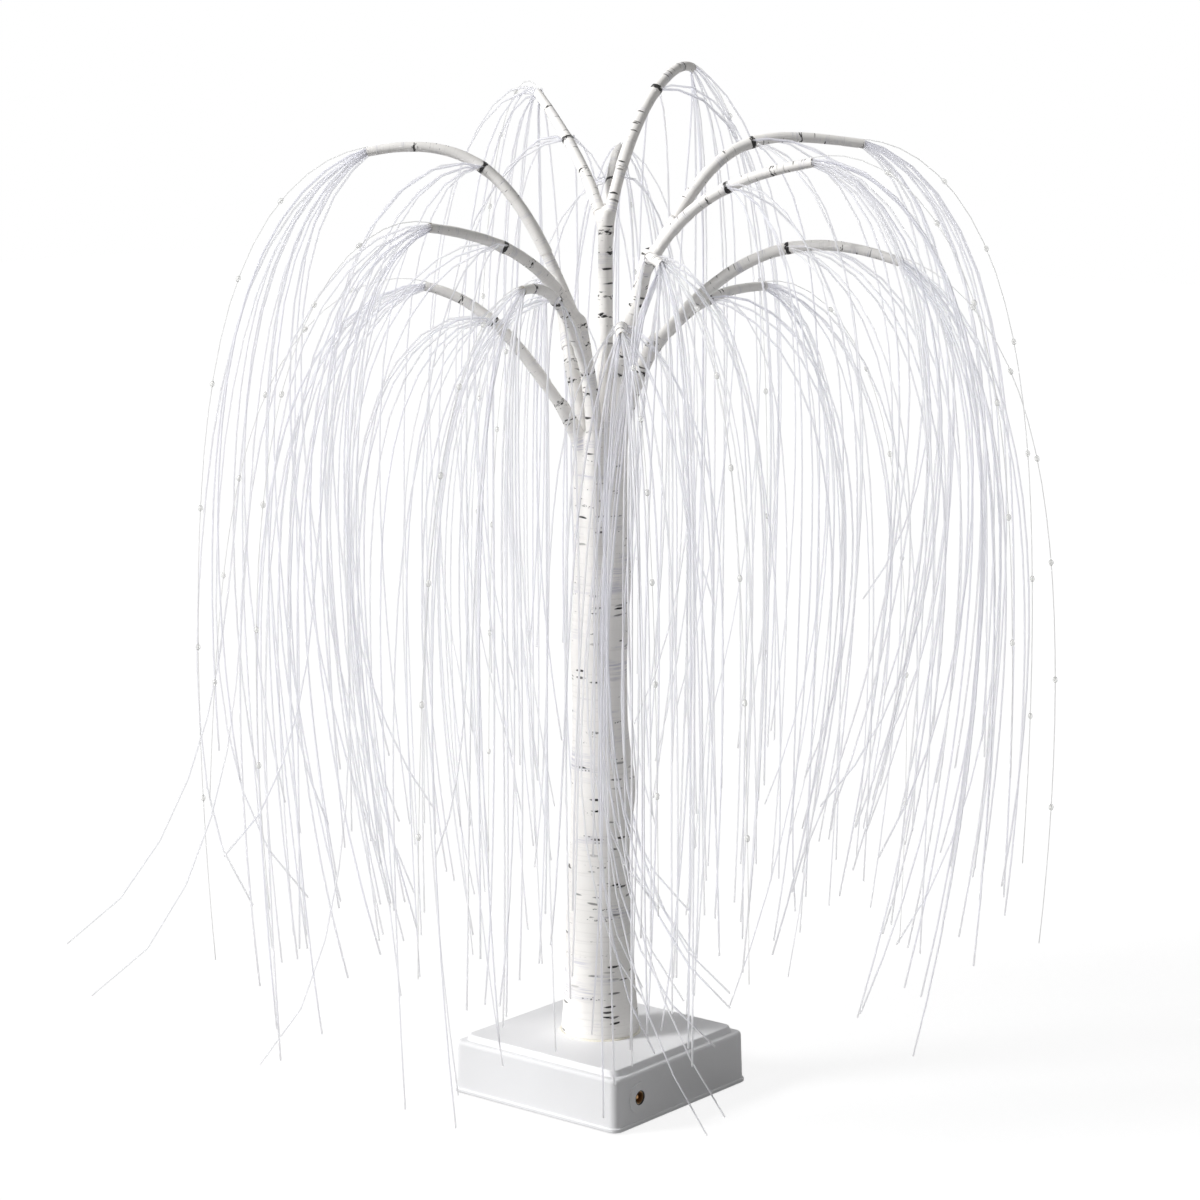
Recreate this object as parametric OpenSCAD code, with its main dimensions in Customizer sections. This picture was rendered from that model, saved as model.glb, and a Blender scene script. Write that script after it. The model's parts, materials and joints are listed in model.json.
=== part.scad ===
// Willow tree lamp: a birch-look trunk with drooping strands on a square battery base.
// Millimetres. The lamp stands on the plane z = 0 with +Z up and the trunk on the Z axis.
// The base is square to X and Y, and its power inlet is in the +X wall.

/* [Base] */
// Width of the base across its bottom lip
base_w = 124; // [120:1:132]
// Height of the deck above the table
base_h = 35; // [34:0.5:40]
// Height of the plate's underside above the table, the part of a foot that shows
stand_h = 1; // [0.8:0.1:1.6]
// Thickness of the bottom lip
lip_t = 2.5; // [2.2:0.1:3]
// How far the lip stands out past the foot of the wall
lip_step = 1; // [0.6:0.1:1.4]
// How far each wall leans in between its foot and its rim
wall_draft = 0.7; // [0.4:0.1:1]
// Height of the deck above the rim of the walls
rim_drop = 3.5; // [3:0.1:4]
// Rounding of the rim
rim_round = 2; // [1.5:0.1:2.4]
// Ledge between the rim and the deck
ledge_w = 4; // [3:0.1:5]
// Radius of the upright corners of the wall
corner_r = 5; // [4.5:0.1:7]
// Wall thickness of the housing
wall = 2.3; // [2:0.1:2.5]
// Diameter of the rubber feet
foot_d = 10; // [8:0.5:11]

/* [Power] */
// Diameter of an AA cell
cell_d = 14.2; // [13.8:0.1:14.5]
// Length of an AA cell over its button
cell_l = 50.2; // [49.5:0.1:50.5]
// Number of curls of a battery spring
spring_turns = 3; // [3:1:5]
// Thickness of the battery door
door_t = 2; // [1.6:0.1:2.4]
// Hole of the power inlet
jack_d = 6.4; // [5.6:0.1:6.6]
// Diameter of the raised ring around the inlet
jack_ring_d = 18; // [14:0.5:19]
// Height of the inlet above the table
jack_z = 17; // [16:0.5:18]
// Distance of the inlet from the edge of the base
jack_y = 22; // [20:0.5:24]
// Travel of the slide switch
switch_travel = 4; // [3:0.5:4.5]

/* [Trunk] */
// Width of the trunk where it meets the deck
trunk_foot_d = 46; // [42:1:52]
// Width of the trunk at half height
trunk_waist_d = 30; // [29:0.5:34]
// Height of the top of the trunk above the table
trunk_top = 372; // [362:1:380]
// Diameter of the steel tube inside the trunk
tube_d = 10; // [9:0.1:10.5]
// Wall of the steel tube
tube_wall = 1.5; // [1:0.1:2]

/* [Crown] */
// Turn of the crown on the base
crown_turn = 39; // [30:1:50]
// Diameter of a limb where it leaves the trunk
limb_d = 10; // [9.5:0.1:10.2]
// Diameter of a branch at its fork
branch_d = 7.2; // [6.8:0.1:7.6]
// Diameter of a branch at its tip
tip_d = 6; // [5.8:0.1:6.4]
// Diameter of a strand
strand_d = 1.1; // [1:0.05:1.2]
// Usual length of a strand
strand_l = 420; // [380:5:440]
// Distance over which a strand bends from its first direction to the vertical
bend_l = 92; // [84:1:98]
// Diameter of an LED bead
bead_d = 2.8; // [2.4:0.1:3.2]
// Diameter of the wire that carries the beads
led_wire_d = 0.7; // [0.6:0.05:0.8]

/* [Hidden] */
eps = 0.01;
gap = 0.3;
TURN = crown_turn;

// Limbs: azimuth of the foot, azimuth of the fork, its distance from the axis, its height
LIMBS = [
  [200, 202, 23, 402],
  [255, 228, 17, 450],
  [ 75,  78, 15, 506],
  [312, 338, 29, 487],
  [ 12,   8, 31, 438],
  [138, 130, 26, 424]
];

// Branches: limb, place on the limb where it leaves, azimuth, reach, tip height, tip slope,
// rings that belong to the limb, strand length against the usual length, first and last bend
BRANCHES = [
  [0, 0.90, 184,  98, 469,  12, 3, 1.00, 0.36, 0.36],
  [1, 0.90, 218, 116, 505,   8, 3, 1.00, 0.42, 0.36],
  [1, 0.90, 178, 130, 543, -12, 4, 1.06, 0.50, 0.46],
  [1, 0.55, 243,  92, 472,  -6, 4, 0.98, 0.40, 0.40],
  [5, 0.90, 110,  95, 466,   0, 3, 0.95, 0.36, 0.40],
  [2, 0.90, 108, 118, 574,  22, 3, 1.06, 0.26, 0.30],
  [2, 0.90,  60, 108, 589, -16, 4, 1.08, 0.50, 0.22],
  [2, 0.62,  84, 112, 542,   4, 5, 1.02, 0.40, 0.40],
  [3, 0.90,   8, 150, 547,  -8, 3, 1.04, 0.60, 0.50],
  [3, 0.90, 336, 126, 539,  10, 4, 1.04, 0.40, 0.40],
  [3, 0.80, 295,  80, 485, -14, 4, 0.94, 0.40, 0.34],
  [3, 0.45, 279,  76, 447, -12, 5, 0.92, 0.40, 0.34],
  [4, 0.90, 350, 168, 484, -20, 3, 0.98, 0.48, 0.40],
  [4, 0.80,  34, 116, 464,   0, 4, 0.95, 0.36, 0.40]
];

// Swellings of the trunk: height, azimuth, size
KNOBS = [
  [181,   8, 4.4],
  [110, 190, 1.0],
  [266, 172, 2.0],
  [306,   0, 4.0]
];

// Strands that are left out because a neighbour hangs in their way: branch, strand
TIP_OUT = [[0, 6], [2, 6], [12, 7], [13, 5]];
SIDE_OUT = [[1, 2], [3, 1], [6, 5], [7, 3], [7, 5], [8, 3], [9, 0], [9, 2], [10, 1], [10, 5], [11, 1]];

BRANCH_N = 16;
KNOT_AT = 9;
TIP_STRANDS = 10;
SIDE_STRANDS = 6;
STRAND_N = 6;
TIP_TURN = 240;
TIP_SPREAD = 26;
TIP_FAN = 12;
TIP_DROOP = 14;
LED_LIFT = 4;
SIDE_FIRST = 19;
SIDE_STEP = 14;
SIDE_LIFT = 54;
SIDE_DROP = 12;
SIDE_DRIFT = 10;
DRIFT = 40;
DRIFT_EACH = 10;
CURL = 26;
LED_N = 8;

// Heights and half widths of the base
lip_z = stand_h + lip_t;
plate_z = stand_h + 4;
rim_z = base_h - rim_drop;
foot_half = base_w / 2 - lip_step;
rim_half = foot_half - wall_draft;
deck_half = rim_half - ledge_w;
cave_half = rim_half - wall;
deck_t = 2.6;
ceiling_z = base_h - deck_t;
post_at = base_w / 2 - 10.5;
inlet_y = jack_y - base_w / 2;

// Battery bay
pitch = cell_d + 0.8;
bay_l = cell_l + 7.6;
bay_w = 3 * pitch + 0.6;
bay_wall = 1.5;
bay_room = 4.4;
bay_x = -8;
bay_y = cave_half - bay_room - bay_wall - bay_w / 2;
door_top = stand_h + door_t;
cell_z = door_top + 0.4 + cell_d / 2;
bay_top = cell_z + cell_d / 2 + 0.3;
bay_x0 = bay_x - bay_l / 2;
bay_x1 = bay_x + bay_l / 2;
door_l = bay_l + 2.4;
door_w = bay_w + 2.4;

// Circuit board and switch
board_x = rim_half - 18.5;
board_y = inlet_y + 37;
board_w = 22;
board_l = 54;
board_z = stand_h + 10;
board_t = 1.6;
board_top = board_z + board_t;
post_dx = board_w / 2 - 3;
post_dy = board_l / 2 - 3;
switch_y = board_y + 11;

// Power inlet
jack_body_d = 12;
jack_face = rim_half + 1.3;
jack_back = cave_half - 12;
jack_bed = jack_back + 4;

// Trunk and its tube
limb_ring = 11;
tube_top = trunk_top - 6;
tube_foot = ceiling_z - 9;

function unit(v) = v / norm(v);
function frac(x) = x - floor(x);
function polar(az, r, z) = [r * cos(az), r * sin(az), z];
function bez(c, t) = pow(1 - t, 3) * c[0] + 3 * t * pow(1 - t, 2) * c[1]
  + 3 * t * t * (1 - t) * c[2] + t * t * t * c[3];
function bez_dir(c, t) = unit(pow(1 - t, 2) * (c[1] - c[0]) + 2 * t * (1 - t) * (c[2] - c[1])
  + t * t * (c[3] - c[2]));
function ring(p, d, side, r, n) =
  let (u = unit(side - (side * d) * d), v = cross(d, u))
  [for (k = [0 : n - 1]) p + r * (cos(360 * k / n) * u + sin(360 * k / n) * v)];

// A closed skin over a list of rings with the same number of points
module skin(rings) {
  n = len(rings[0]);
  m = len(rings);
  points = [for (r = rings) for (p = r) p];
  low = [for (k = [1 : n - 2]) [0, k, k + 1]];
  high = [for (k = [1 : n - 2]) [(m - 1) * n, (m - 1) * n + k + 1, (m - 1) * n + k]];
  left = [for (i = [0 : m - 2]) for (k = [0 : n - 1])
    [i * n + k, (i + 1) * n + k, (i + 1) * n + (k + 1) % n]];
  right = [for (i = [0 : m - 2]) for (k = [0 : n - 1])
    [i * n + k, (i + 1) * n + (k + 1) % n, i * n + (k + 1) % n]];
  polyhedron(points = points, faces = concat(low, left, right, high), convexity = 4);
}

// A round lead along a curve
module lead(c, r, side, steps) {
  skin([for (i = [0 : steps]) ring(bez(c, i / steps), bez_dir(c, i / steps), side, r, 8)]);
}

// Limb and branch curves
function limb_foot(j) = polar(LIMBS[j][0] + TURN, limb_ring, trunk_top);
function limb_fork(j) = polar(LIMBS[j][1] + TURN, LIMBS[j][2], LIMBS[j][3] + trunk_top - 372);
function limb_curve(j) =
  let (a = limb_foot(j), b = limb_fork(j), h = b[2] - a[2])
  [a, a + [0, 0, 0.4 * h], [0.45 * a[0] + 0.55 * b[0], 0.45 * a[1] + 0.55 * b[1], b[2] - 0.35 * h], b];
function branch_az(i) = BRANCHES[i][2] + TURN;
function branch_side(i) = [-sin(branch_az(i)), cos(branch_az(i)), 0];
function branch_tip_dir(i) = [
  cos(branch_az(i)) * cos(BRANCHES[i][5]), sin(branch_az(i)) * cos(BRANCHES[i][5]), sin(BRANCHES[i][5])];
function branch_curve(i) =
  let (
    b = BRANCHES[i],
    l = limb_curve(b[0]),
    a = bez(l, b[1]),
    e = polar(branch_az(i), b[3], b[4] + trunk_top - 372),
    d = norm(e - a))
  [a, a + b[8] * d * unit(2 * bez_dir(l, b[1]) + unit(e - a)), e - b[9] * d * branch_tip_dir(i), e];
function branch_r(t) = (branch_d + (tip_d - branch_d) * t) / 2;
function branch_ring(i, q) =
  let (c = branch_curve(i), t = q / BRANCH_N)
  ring(bez(c, t), bez_dir(c, t), branch_side(i), branch_r(t), 8);
module branch_piece(i, a, b) {
  skin([for (q = [a : b]) branch_ring(i, q)]);
}

// A strand leaves its start at the angle th0 from straight down and bends until it hangs at th1.
// Its azimuth drifts along it, and its end curls towards the trunk.
function strand_angle(s, st) = st[3] + (st[2] - st[3]) * exp(-s / st[5]) + st[8] * pow(s / st[4], 2);
function strand_az(s, st) = st[1] + st[7] * s / st[4];
function strand_dir(az, th) = [sin(th) * cos(az), sin(th) * sin(az), -cos(th)];
function strand_s(j, n, l) = l * pow(j / n, 1.6);
function strand_mid(j, n, l) = (strand_s(j, n, l) + strand_s(j + 1, n, l)) / 2;
function strand_points(p0, st, n) = [
  for (j = 0, p = p0; j <= n;
    p = p + (strand_s(j + 1, n, st[4]) - strand_s(j, n, st[4]))
      * strand_dir(strand_az(strand_mid(j, n, st[4]), st), strand_angle(strand_mid(j, n, st[4]), st)),
    j = j + 1) p];
function strand_reach(z, l) = min(l, z - 14 + 0.25 * bend_l);

// Ends of short branches curl less, so that they stay clear of the base
function curl(i) = CURL * min(1, max(0, (BRANCHES[i][3] - 70) / 50));

// A strand: start, azimuth, first angle, last angle, length, bend, direction of its branch, drift, curl.
// Strand 0 of a tip is the LED wire, on top of the others. The others fan out from the end face.
function tip_strand(i, k) =
  let (
    turn = 137.508 * k + TIP_TURN * i,
    rho = sqrt((k + 0.5) / (TIP_STRANDS + 1)),
    a = k == 0 ? 0 : rho * cos(turn),
    b = k == 0 ? 1 : rho * sin(turn),
    c = branch_curve(i),
    d = bez_dir(c, 1),
    u = unit(branch_side(i) - (branch_side(i) * d) * d),
    v = cross(d, u),
    p = c[3] + (k == 0 ? 0.88 : 0.74) * tip_d / 2 * (a * u + b * v),
    l = strand_l * BRANCHES[i][7] * (0.84 + 0.32 * frac(0.618 * k + 0.46 * i)))
  [p, branch_az(i) + TIP_SPREAD * a, 90 - TIP_DROOP + BRANCHES[i][5] + TIP_FAN * b, 3 * b - 1,
    strand_reach(p[2], l), bend_l * (0.73 + 0.16 * b + 0.1 * frac(0.73 * k + 0.56 * i)), d,
    DRIFT * a + DRIFT_EACH * (2 * frac(0.29 * k + 0.34 * i) - 1),
    curl(i) * (0.3 * b - 0.3 - 0.4 * frac(0.53 * k + 0.81 * i))];

// Strands bound in at the knot of a branch, half to each side
function side_strand(i, k) =
  let (
    sign = k % 2 == 0 ? 1 : -1,
    rank = floor(k / 2),
    t = (KNOT_AT + 0.35 + 0.2 * rank) / BRANCH_N,
    c = branch_curve(i),
    d = bez_dir(c, t),
    u = unit(branch_side(i) - (branch_side(i) * d) * d),
    v = cross(d, u),
    p = bez(c, t) + branch_r(t) * (0.74 * sign * u + (0.4 - 0.4 * rank) * v),
    l = strand_l * BRANCHES[i][7] * (0.80 + 0.3 * frac(0.618 * k + 0.44 * i)))
  [p, branch_az(i) + sign * (SIDE_FIRST + SIDE_STEP * rank), SIDE_LIFT + 0.45 * acos(-d[2]) - SIDE_DROP * rank, -1,
    strand_reach(p[2], l), bend_l * (0.29 + 0.0034 * BRANCHES[i][3] + 0.1 * frac(0.59 * k + 0.05 * i)), d,
    sign * SIDE_DRIFT * (1 + 0.5 * rank) + DRIFT_EACH * (2 * frac(0.29 * k + 0.33 * i) - 1),
    -curl(i) * (0.3 + 0.5 * frac(0.53 * k + 0.78 * i))];

function kept(out, i, k) = len([for (o = out) if (o == [i, k]) o]) == 0;

module strand(s) {
  pts = strand_points(s[0], s, STRAND_N);
  side = [-sin(s[1]), cos(s[1]), 0];
  first = strand_dir(s[1], s[2]);
  rings = [for (j = [0 : STRAND_N])
    let (d = j == 0 ? first : unit(pts[min(j + 1, STRAND_N)] - pts[j - 1]))
    ring(j == 0 ? pts[0] - 1.5 * first : pts[j], d, side, strand_d / 2, 3)];
  skin(rings);
}

module strand_set(i) {
  color([0.90, 0.90, 0.93])
  union() {
    branch_piece(i, KNOT_AT, KNOT_AT + 1);
    branch_piece(i, BRANCH_N - 1, BRANCH_N);
    for (k = [1 : TIP_STRANDS]) if (kept(TIP_OUT, i, k)) strand(tip_strand(i, k));
    for (k = [0 : SIDE_STRANDS - 1]) if (kept(SIDE_OUT, i, k)) strand(side_strand(i, k));
  }
}

module branch(i) {
  color([0.93, 0.92, 0.90]) {
    branch_piece(i, BRANCHES[i][6], KNOT_AT);
    branch_piece(i, KNOT_AT + 1, BRANCH_N - 1);
  }
}

// A limb stands on the trunk with a peg, and carries the first part of each of its branches
module limb(j) {
  c = limb_curve(j);
  side = [-sin(LIMBS[j][1] + TURN), cos(LIMBS[j][1] + TURN), 0];
  color([0.94, 0.93, 0.91])
  union() {
    skin([for (q = [0 : 8]) ring(bez(c, q / 8), bez_dir(c, q / 8), side, (limb_d - 1.6 * q / 8) / 2, 10)]);
    translate(c[3]) sphere(d = limb_d - 1.5, $fn = 32);
    translate(c[0] - [0, 0, 18]) cylinder(d = 4, h = 18.5, $fn = 32);
    for (i = [0 : len(BRANCHES) - 1]) if (BRANCHES[i][0] == j) branch_piece(i, 0, BRANCHES[i][6]);
  }
}

// One LED wire hangs from the tip of each branch, with beads along it
function led_points(i) =
  let (s = tip_strand(i, 0), high = [s[0], s[1], s[2] + LED_LIFT, s[3], s[4], 0.84 * bend_l, s[6], s[7], s[8]])
  concat([s[0]], strand_points(s[0] + 3 * s[6], high, LED_N));

module led_wire(i) {
  s = tip_strand(i, 0);
  side = [-sin(s[1]), cos(s[1]), 0];
  pts = led_points(i);
  m = len(pts);
  union() {
    skin([for (j = [0 : m - 1])
      let (d = j == 0 ? s[6] : unit(pts[min(j + 1, m - 1)] - pts[j - 1]))
      ring(pts[j], d, side, led_wire_d / 2, 3)]);
    for (j = [3 : m - 2]) translate(pts[j]) rotate([90, 0, s[1]]) sphere(d = bead_d, $fn = 24);
  }
}

module led_set(list) {
  color([0.97, 0.95, 0.86])
  for (i = list) led_wire(i);
}

// Base
function rim_layers() = concat(
  [[lip_z, foot_half, corner_r]],
  [for (a = [0 : 30 : 90]) [rim_z - rim_round + rim_round * sin(a),
    rim_half - rim_round * (1 - cos(a)), corner_r - rim_round * (1 - cos(a))]]);
function deck_layers() = [
  [rim_z - 1, deck_half + 0.4, corner_r],
  [base_h - 0.9, deck_half - 0.9, corner_r],
  [base_h - 0.25, deck_half - 1.2, corner_r - 0.3],
  [base_h, deck_half - 1.8, corner_r - 0.9]];
function lip_layers() = [
  [stand_h, base_w / 2 - 0.6, corner_r + 0.4],
  [stand_h + 0.5, base_w / 2, corner_r + 1],
  [lip_z - 0.5, base_w / 2, corner_r + 1],
  [lip_z, base_w / 2 - 0.4, corner_r + 0.6]];

module stacked(layers) {
  top = layers[len(layers) - 1][0];
  hull()
  for (l = layers) for (x = [-1, 1]) for (y = [-1, 1])
    translate([x * (l[1] - l[2]), y * (l[1] - l[2]), l[0] == top ? l[0] - eps : l[0]])
      cylinder(r = l[2], h = eps, $fn = 32);
}

module rounded_slab(half, r, z0, z1) {
  translate([0, 0, z0]) linear_extrude(z1 - z0) {
    square([2 * half, 2 * (half - r)], center = true);
    square([2 * (half - r), 2 * half], center = true);
    for (x = [-1, 1]) for (y = [-1, 1]) translate([x * (half - r), y * (half - r)]) circle(r = r, $fn = 48);
  }
}

module at_posts() {
  for (x = [-1, 1]) for (y = [-1, 1]) translate([x * post_at, y * post_at, 0]) children();
}

module base_housing() {
  color([0.93, 0.93, 0.93])
  difference() {
    union() {
      difference() {
        union() {
          stacked(rim_layers());
          stacked(deck_layers());
        }
        rounded_slab(cave_half, 3, lip_z - 1, rim_z - wall);
        rounded_slab(deck_half - 4, 3, rim_z - wall - 1, ceiling_z);
      }
      at_posts() translate([0, 0, plate_z]) cylinder(d = 8.4, h = rim_z - wall - plate_z + 0.5, $fn = 48);
      translate([cave_half - 0.5, inlet_y, jack_z]) rotate([0, 90, 0])
        cylinder(d = jack_ring_d, h = jack_face - cave_half + 0.5, $fn = 64);
    }
    at_posts() translate([0, 0, plate_z - 1]) cylinder(d = 2.5, h = 13, $fn = 32);
    translate([0, 0, ceiling_z - 1]) cylinder(d = tube_d + 0.4, h = 6, $fn = 48);
    translate([cave_half - 2, inlet_y, jack_z]) rotate([0, 90, 0]) cylinder(d = 8.6, h = 10, $fn = 48);
    translate([cave_half - 8, inlet_y, jack_z]) rotate([0, 90, 0]) cylinder(d = 16, h = 8, $fn = 48);
    translate([jack_back - gap, inlet_y, jack_z]) rotate([0, 90, 0])
      cylinder(d = jack_body_d + 2 * gap, h = cave_half - jack_back, $fn = 48);
  }
}

module base_plate() {
  color([0.90, 0.90, 0.90])
  difference() {
    union() {
      stacked(lip_layers());
      rounded_slab(cave_half - gap, 2.7, lip_z - 0.5, plate_z);
      translate([bay_x0 - bay_wall, bay_y - bay_w / 2 - bay_wall, plate_z - 0.5])
        cube([bay_l + 2 * bay_wall, bay_w + 2 * bay_wall, bay_top + bay_wall - plate_z + 0.5]);
      for (s = [-1, 1]) translate([board_x + s * post_dx, board_y + s * post_dy, plate_z - 0.5])
        cylinder(d = 5.6, h = board_z - plate_z + 0.5, $fn = 48);
    }
    translate([bay_x0, bay_y - bay_w / 2, door_top]) cube([bay_l, bay_w, bay_top - door_top]);
    translate([bay_x - door_l / 2 - gap, bay_y - door_w / 2 - gap, 0])
      cube([door_l + 2 * gap, door_w + 2 * gap, door_top]);
    for (s = [-1, 1]) translate([bay_x - door_l / 2 - 3.4, bay_y + 15 * s - 3.5, door_top - 0.3])
      cube([9, 7, 3.6]);
    at_posts() {
      translate([0, 0, 0]) cylinder(d = foot_d + 0.2, h = stand_h + 0.8, $fn = 48);
      translate([0, 0, stand_h]) cylinder(d = 6.4, h = 2.8, $fn = 48);
      cylinder(d = 3, h = 8, $fn = 32);
    }
    for (s = [-1, 1]) translate([board_x + s * post_dx, board_y + s * post_dy, plate_z - 1])
      cylinder(d = 1.7, h = 10, $fn = 32);
    translate([board_x - 2.2, switch_y - switch_travel / 2 - 2.6, 0]) cube([4.4, switch_travel + 5.2, 10]);
    translate([board_x - 4, switch_y - switch_travel / 2 - 5, 0]) cube([8, switch_travel + 10, stand_h + 1]);
  }
}

module rubber_feet() {
  color([0.25, 0.25, 0.26])
  at_posts() rotate_extrude($fn = 64)
    polygon([[0, 0], [foot_d / 2 - 0.5, 0], [foot_d / 2, 0.5], [foot_d / 2, stand_h + 0.8], [0, stand_h + 0.8]]);
}

module plate_screws() {
  color([0.65, 0.65, 0.67])
  at_posts() difference() {
    union() {
      translate([0, 0, stand_h + 1.1]) cylinder(d = 5.6, h = 1.7, $fn = 48);
      translate([0, 0, stand_h + 2.7]) cylinder(d = 2.4, h = 10, $fn = 32);
    }
    translate([0, 0, stand_h + 1]) {
      translate([-1.7, -0.4, 0]) cube([3.4, 0.8, 1.1]);
      translate([-0.4, -1.7, 0]) cube([0.8, 3.4, 1.1]);
    }
  }
}

module battery_door() {
  x0 = bay_x - door_l / 2;
  x1 = bay_x + door_l / 2;
  color([0.90, 0.90, 0.90])
  difference() {
    union() {
      translate([x0, bay_y - door_w / 2, stand_h]) cube([door_l, door_w, door_t]);
      for (s = [-1, 1]) translate([x0 - 2.4, bay_y + 15 * s - 3, door_top]) cube([5.4, 6, 1.2]);
    }
    for (s = [-1, 1]) translate([x1 - 11, bay_y + s * 7 - 0.5, 0]) cube([20, 1, 8]);
    translate([x1 - 3, bay_y, stand_h - 4.6]) rotate([0, 90, 0]) cylinder(d = 12, h = 10, $fn = 64);
    for (k = [0 : 3]) translate([x1 - 18 - 3 * k, bay_y - 6, stand_h - 1]) cube([1.2, 12, 1.5]);
  }
}

module at_cells() {
  for (k = [-1 : 1]) translate([bay_x, bay_y + k * pitch, cell_z]) rotate([0, 0, k == 0 ? 180 : 0]) children();
}

// Each cell points its button along +X of its own place, and a spring presses on its other end
cell_x0 = bay_l / 2 - 0.5 - cell_l;

module battery_cells() {
  color([0.30, 0.34, 0.40])
  at_cells() translate([cell_x0, 0, 0]) rotate([0, 90, 0]) {
    cylinder(d = cell_d, h = cell_l - 1.3, $fn = 64);
    translate([0, 0, cell_l - 1.4]) cylinder(d = 5.2, h = 1.4, $fn = 48);
  }
}

// A spring is one conical coil from its plate to the cell; the least gap between curls is measured
spring_x0 = -bay_l / 2 + 0.75;
spring_x1 = cell_x0 - 0.36;
function spring_point(u) = [spring_x0 + (spring_x1 - spring_x0) * u,
  (4.6 - 2.2 * u) * cos(360 * spring_turns * u), (4.6 - 2.2 * u) * sin(360 * spring_turns * u)];
spring_steps = 8 * spring_turns;
spring_gap = min([for (i = [0 : spring_steps - 7]) for (j = [i + 6 : spring_steps])
  norm(spring_point(i / spring_steps) - spring_point(j / spring_steps))]) - 0.7;
echo(least_gap_between_curls = spring_gap);

module battery_springs() {
  color([0.75, 0.75, 0.78])
  at_cells() {
    skin([for (i = [0 : spring_steps])
      let (u = i / spring_steps, d = unit(spring_point(u + 0.01) - spring_point(u - 0.01)))
      ring(spring_point(u), d, [1, 0, 0], 0.35, 6)]);
    translate([-bay_l / 2, -5.6, -5.4]) cube([0.4, 11.2, 11]);
  }
}

module contact_plates() {
  color([0.75, 0.75, 0.78])
  at_cells() translate([bay_l / 2 - 0.4, -5.6, -5.4]) cube([0.4, 11.2, 11]);
}

module circuit_board() {
  color([0.12, 0.38, 0.22])
  difference() {
    union() {
      translate([board_x - board_w / 2, board_y - board_l / 2, board_z]) cube([board_w, board_l, board_t]);
      translate([board_x - 5, board_y - 8, board_top - 0.1]) cube([8, 10, 1.9]);
      translate([board_x + 5, board_y + 8, board_top - 0.1]) cylinder(d = 6, h = 9, $fn = 48);
      translate([board_x - 6, board_y + 18, board_top - 0.1]) cube([10, 4, 2.4]);
    }
    for (s = [-1, 1]) translate([board_x + s * post_dx, board_y + s * post_dy, board_z - 1])
      cylinder(d = 2.2, h = 6, $fn = 32);
  }
}

module board_screws() {
  color([0.65, 0.65, 0.67])
  for (s = [-1, 1]) translate([board_x + s * post_dx, board_y + s * post_dy, 0]) {
    translate([0, 0, board_top]) cylinder(d = 3.8, h = 1.4, $fn = 48);
    translate([0, 0, board_top - 6]) cylinder(d = 1.6, h = 6.1, $fn = 32);
  }
}

// The switch hangs under the board and its slider reaches down into the well of the plate
switch_low = board_z - 5;
module switch_body() {
  color([0.55, 0.55, 0.57])
  difference() {
    translate([board_x - 3.6, switch_y - switch_travel / 2 - 4.6, switch_low]) cube([7.2, switch_travel + 9.2, 5]);
    translate([board_x - 2.6, switch_y - switch_travel / 2 - 3.4, switch_low + 1.2])
      cube([5.2, switch_travel + 6.8, 2.4]);
    translate([board_x - 2, switch_y - switch_travel / 2 - 2.4, switch_low - 1]) cube([4, switch_travel + 4.8, 3]);
  }
}

module switch_slider() {
  y0 = switch_y - switch_travel / 2;
  color([0.10, 0.10, 0.11])
  difference() {
    union() {
      translate([board_x - 2.2, y0 - 3, switch_low + 1.6]) cube([4.4, 6, 1.6]);
      translate([board_x - 1.6, y0 - 2, stand_h + 0.9]) cube([3.2, 4, switch_low + 0.8 - stand_h]);
    }
    for (k = [-1 : 1]) translate([board_x - 2, y0 + 1.1 * k - 0.2, stand_h]) cube([4, 0.4, 1.3]);
  }
}

// Power inlet, with its axis along X
module at_jack(x) {
  translate([x, inlet_y, jack_z]) rotate([0, 90, 0]) children();
}

module dc_jack() {
  color([0.16, 0.16, 0.17])
  difference() {
    union() {
      at_jack(jack_back) cylinder(d = jack_body_d, h = cave_half - jack_back, $fn = 64);
      at_jack(cave_half - 1) cylinder(d = 8.5, h = jack_face - cave_half + 0.8, $fn = 64);
    }
    at_jack(jack_bed) cylinder(d = jack_d + 0.8, h = 30, $fn = 48);
  }
}

module jack_contacts() {
  color([0.72, 0.52, 0.26]) {
    difference() {
      at_jack(jack_bed) cylinder(d = jack_d + 0.8, h = jack_face - jack_bed - 0.8, $fn = 48);
      at_jack(jack_bed + 0.6) cylinder(d = jack_d, h = 30, $fn = 48);
      at_jack(jack_bed - 1) cylinder(d = 4, h = 5, $fn = 48);
    }
    at_jack(jack_bed) cylinder(d = 2, h = jack_face - jack_bed - 2.2, $fn = 32);
    for (s = [-1, 1]) translate([jack_back - 5, inlet_y + 3 * s - 1, jack_z - 1]) cube([5, 2, 2]);
  }
}

module base_leads() {
  bx = bay_x1 + bay_wall;
  z0 = bay_top - 2.5;
  ex = board_x - board_w / 2 + 3;
  color([0.45, 0.10, 0.10]) {
    for (k = [0, 1]) let (y0 = bay_y - pitch + 2 * k * pitch, y1 = board_y + 6 + 5 * k)
      lead([[bx, y0, z0], [bx + 4, y0, z0], [ex, y1, board_top + 9], [ex, y1, board_top]], 0.8, [0.3, 0.9, 0.3], 8);
    for (s = [-1, 1]) let (y0 = inlet_y + 3 * s, y1 = board_y - board_l / 2 + 6, x1 = board_x + 4 * s)
      lead([[jack_back - 5, y0, jack_z], [jack_back - 10 + s, y0, jack_z], [x1, y1, board_top + 9],
        [x1, y1, board_top]], 0.8, [0.3, 0.9, 0.3], 8);
  }
}

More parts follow.
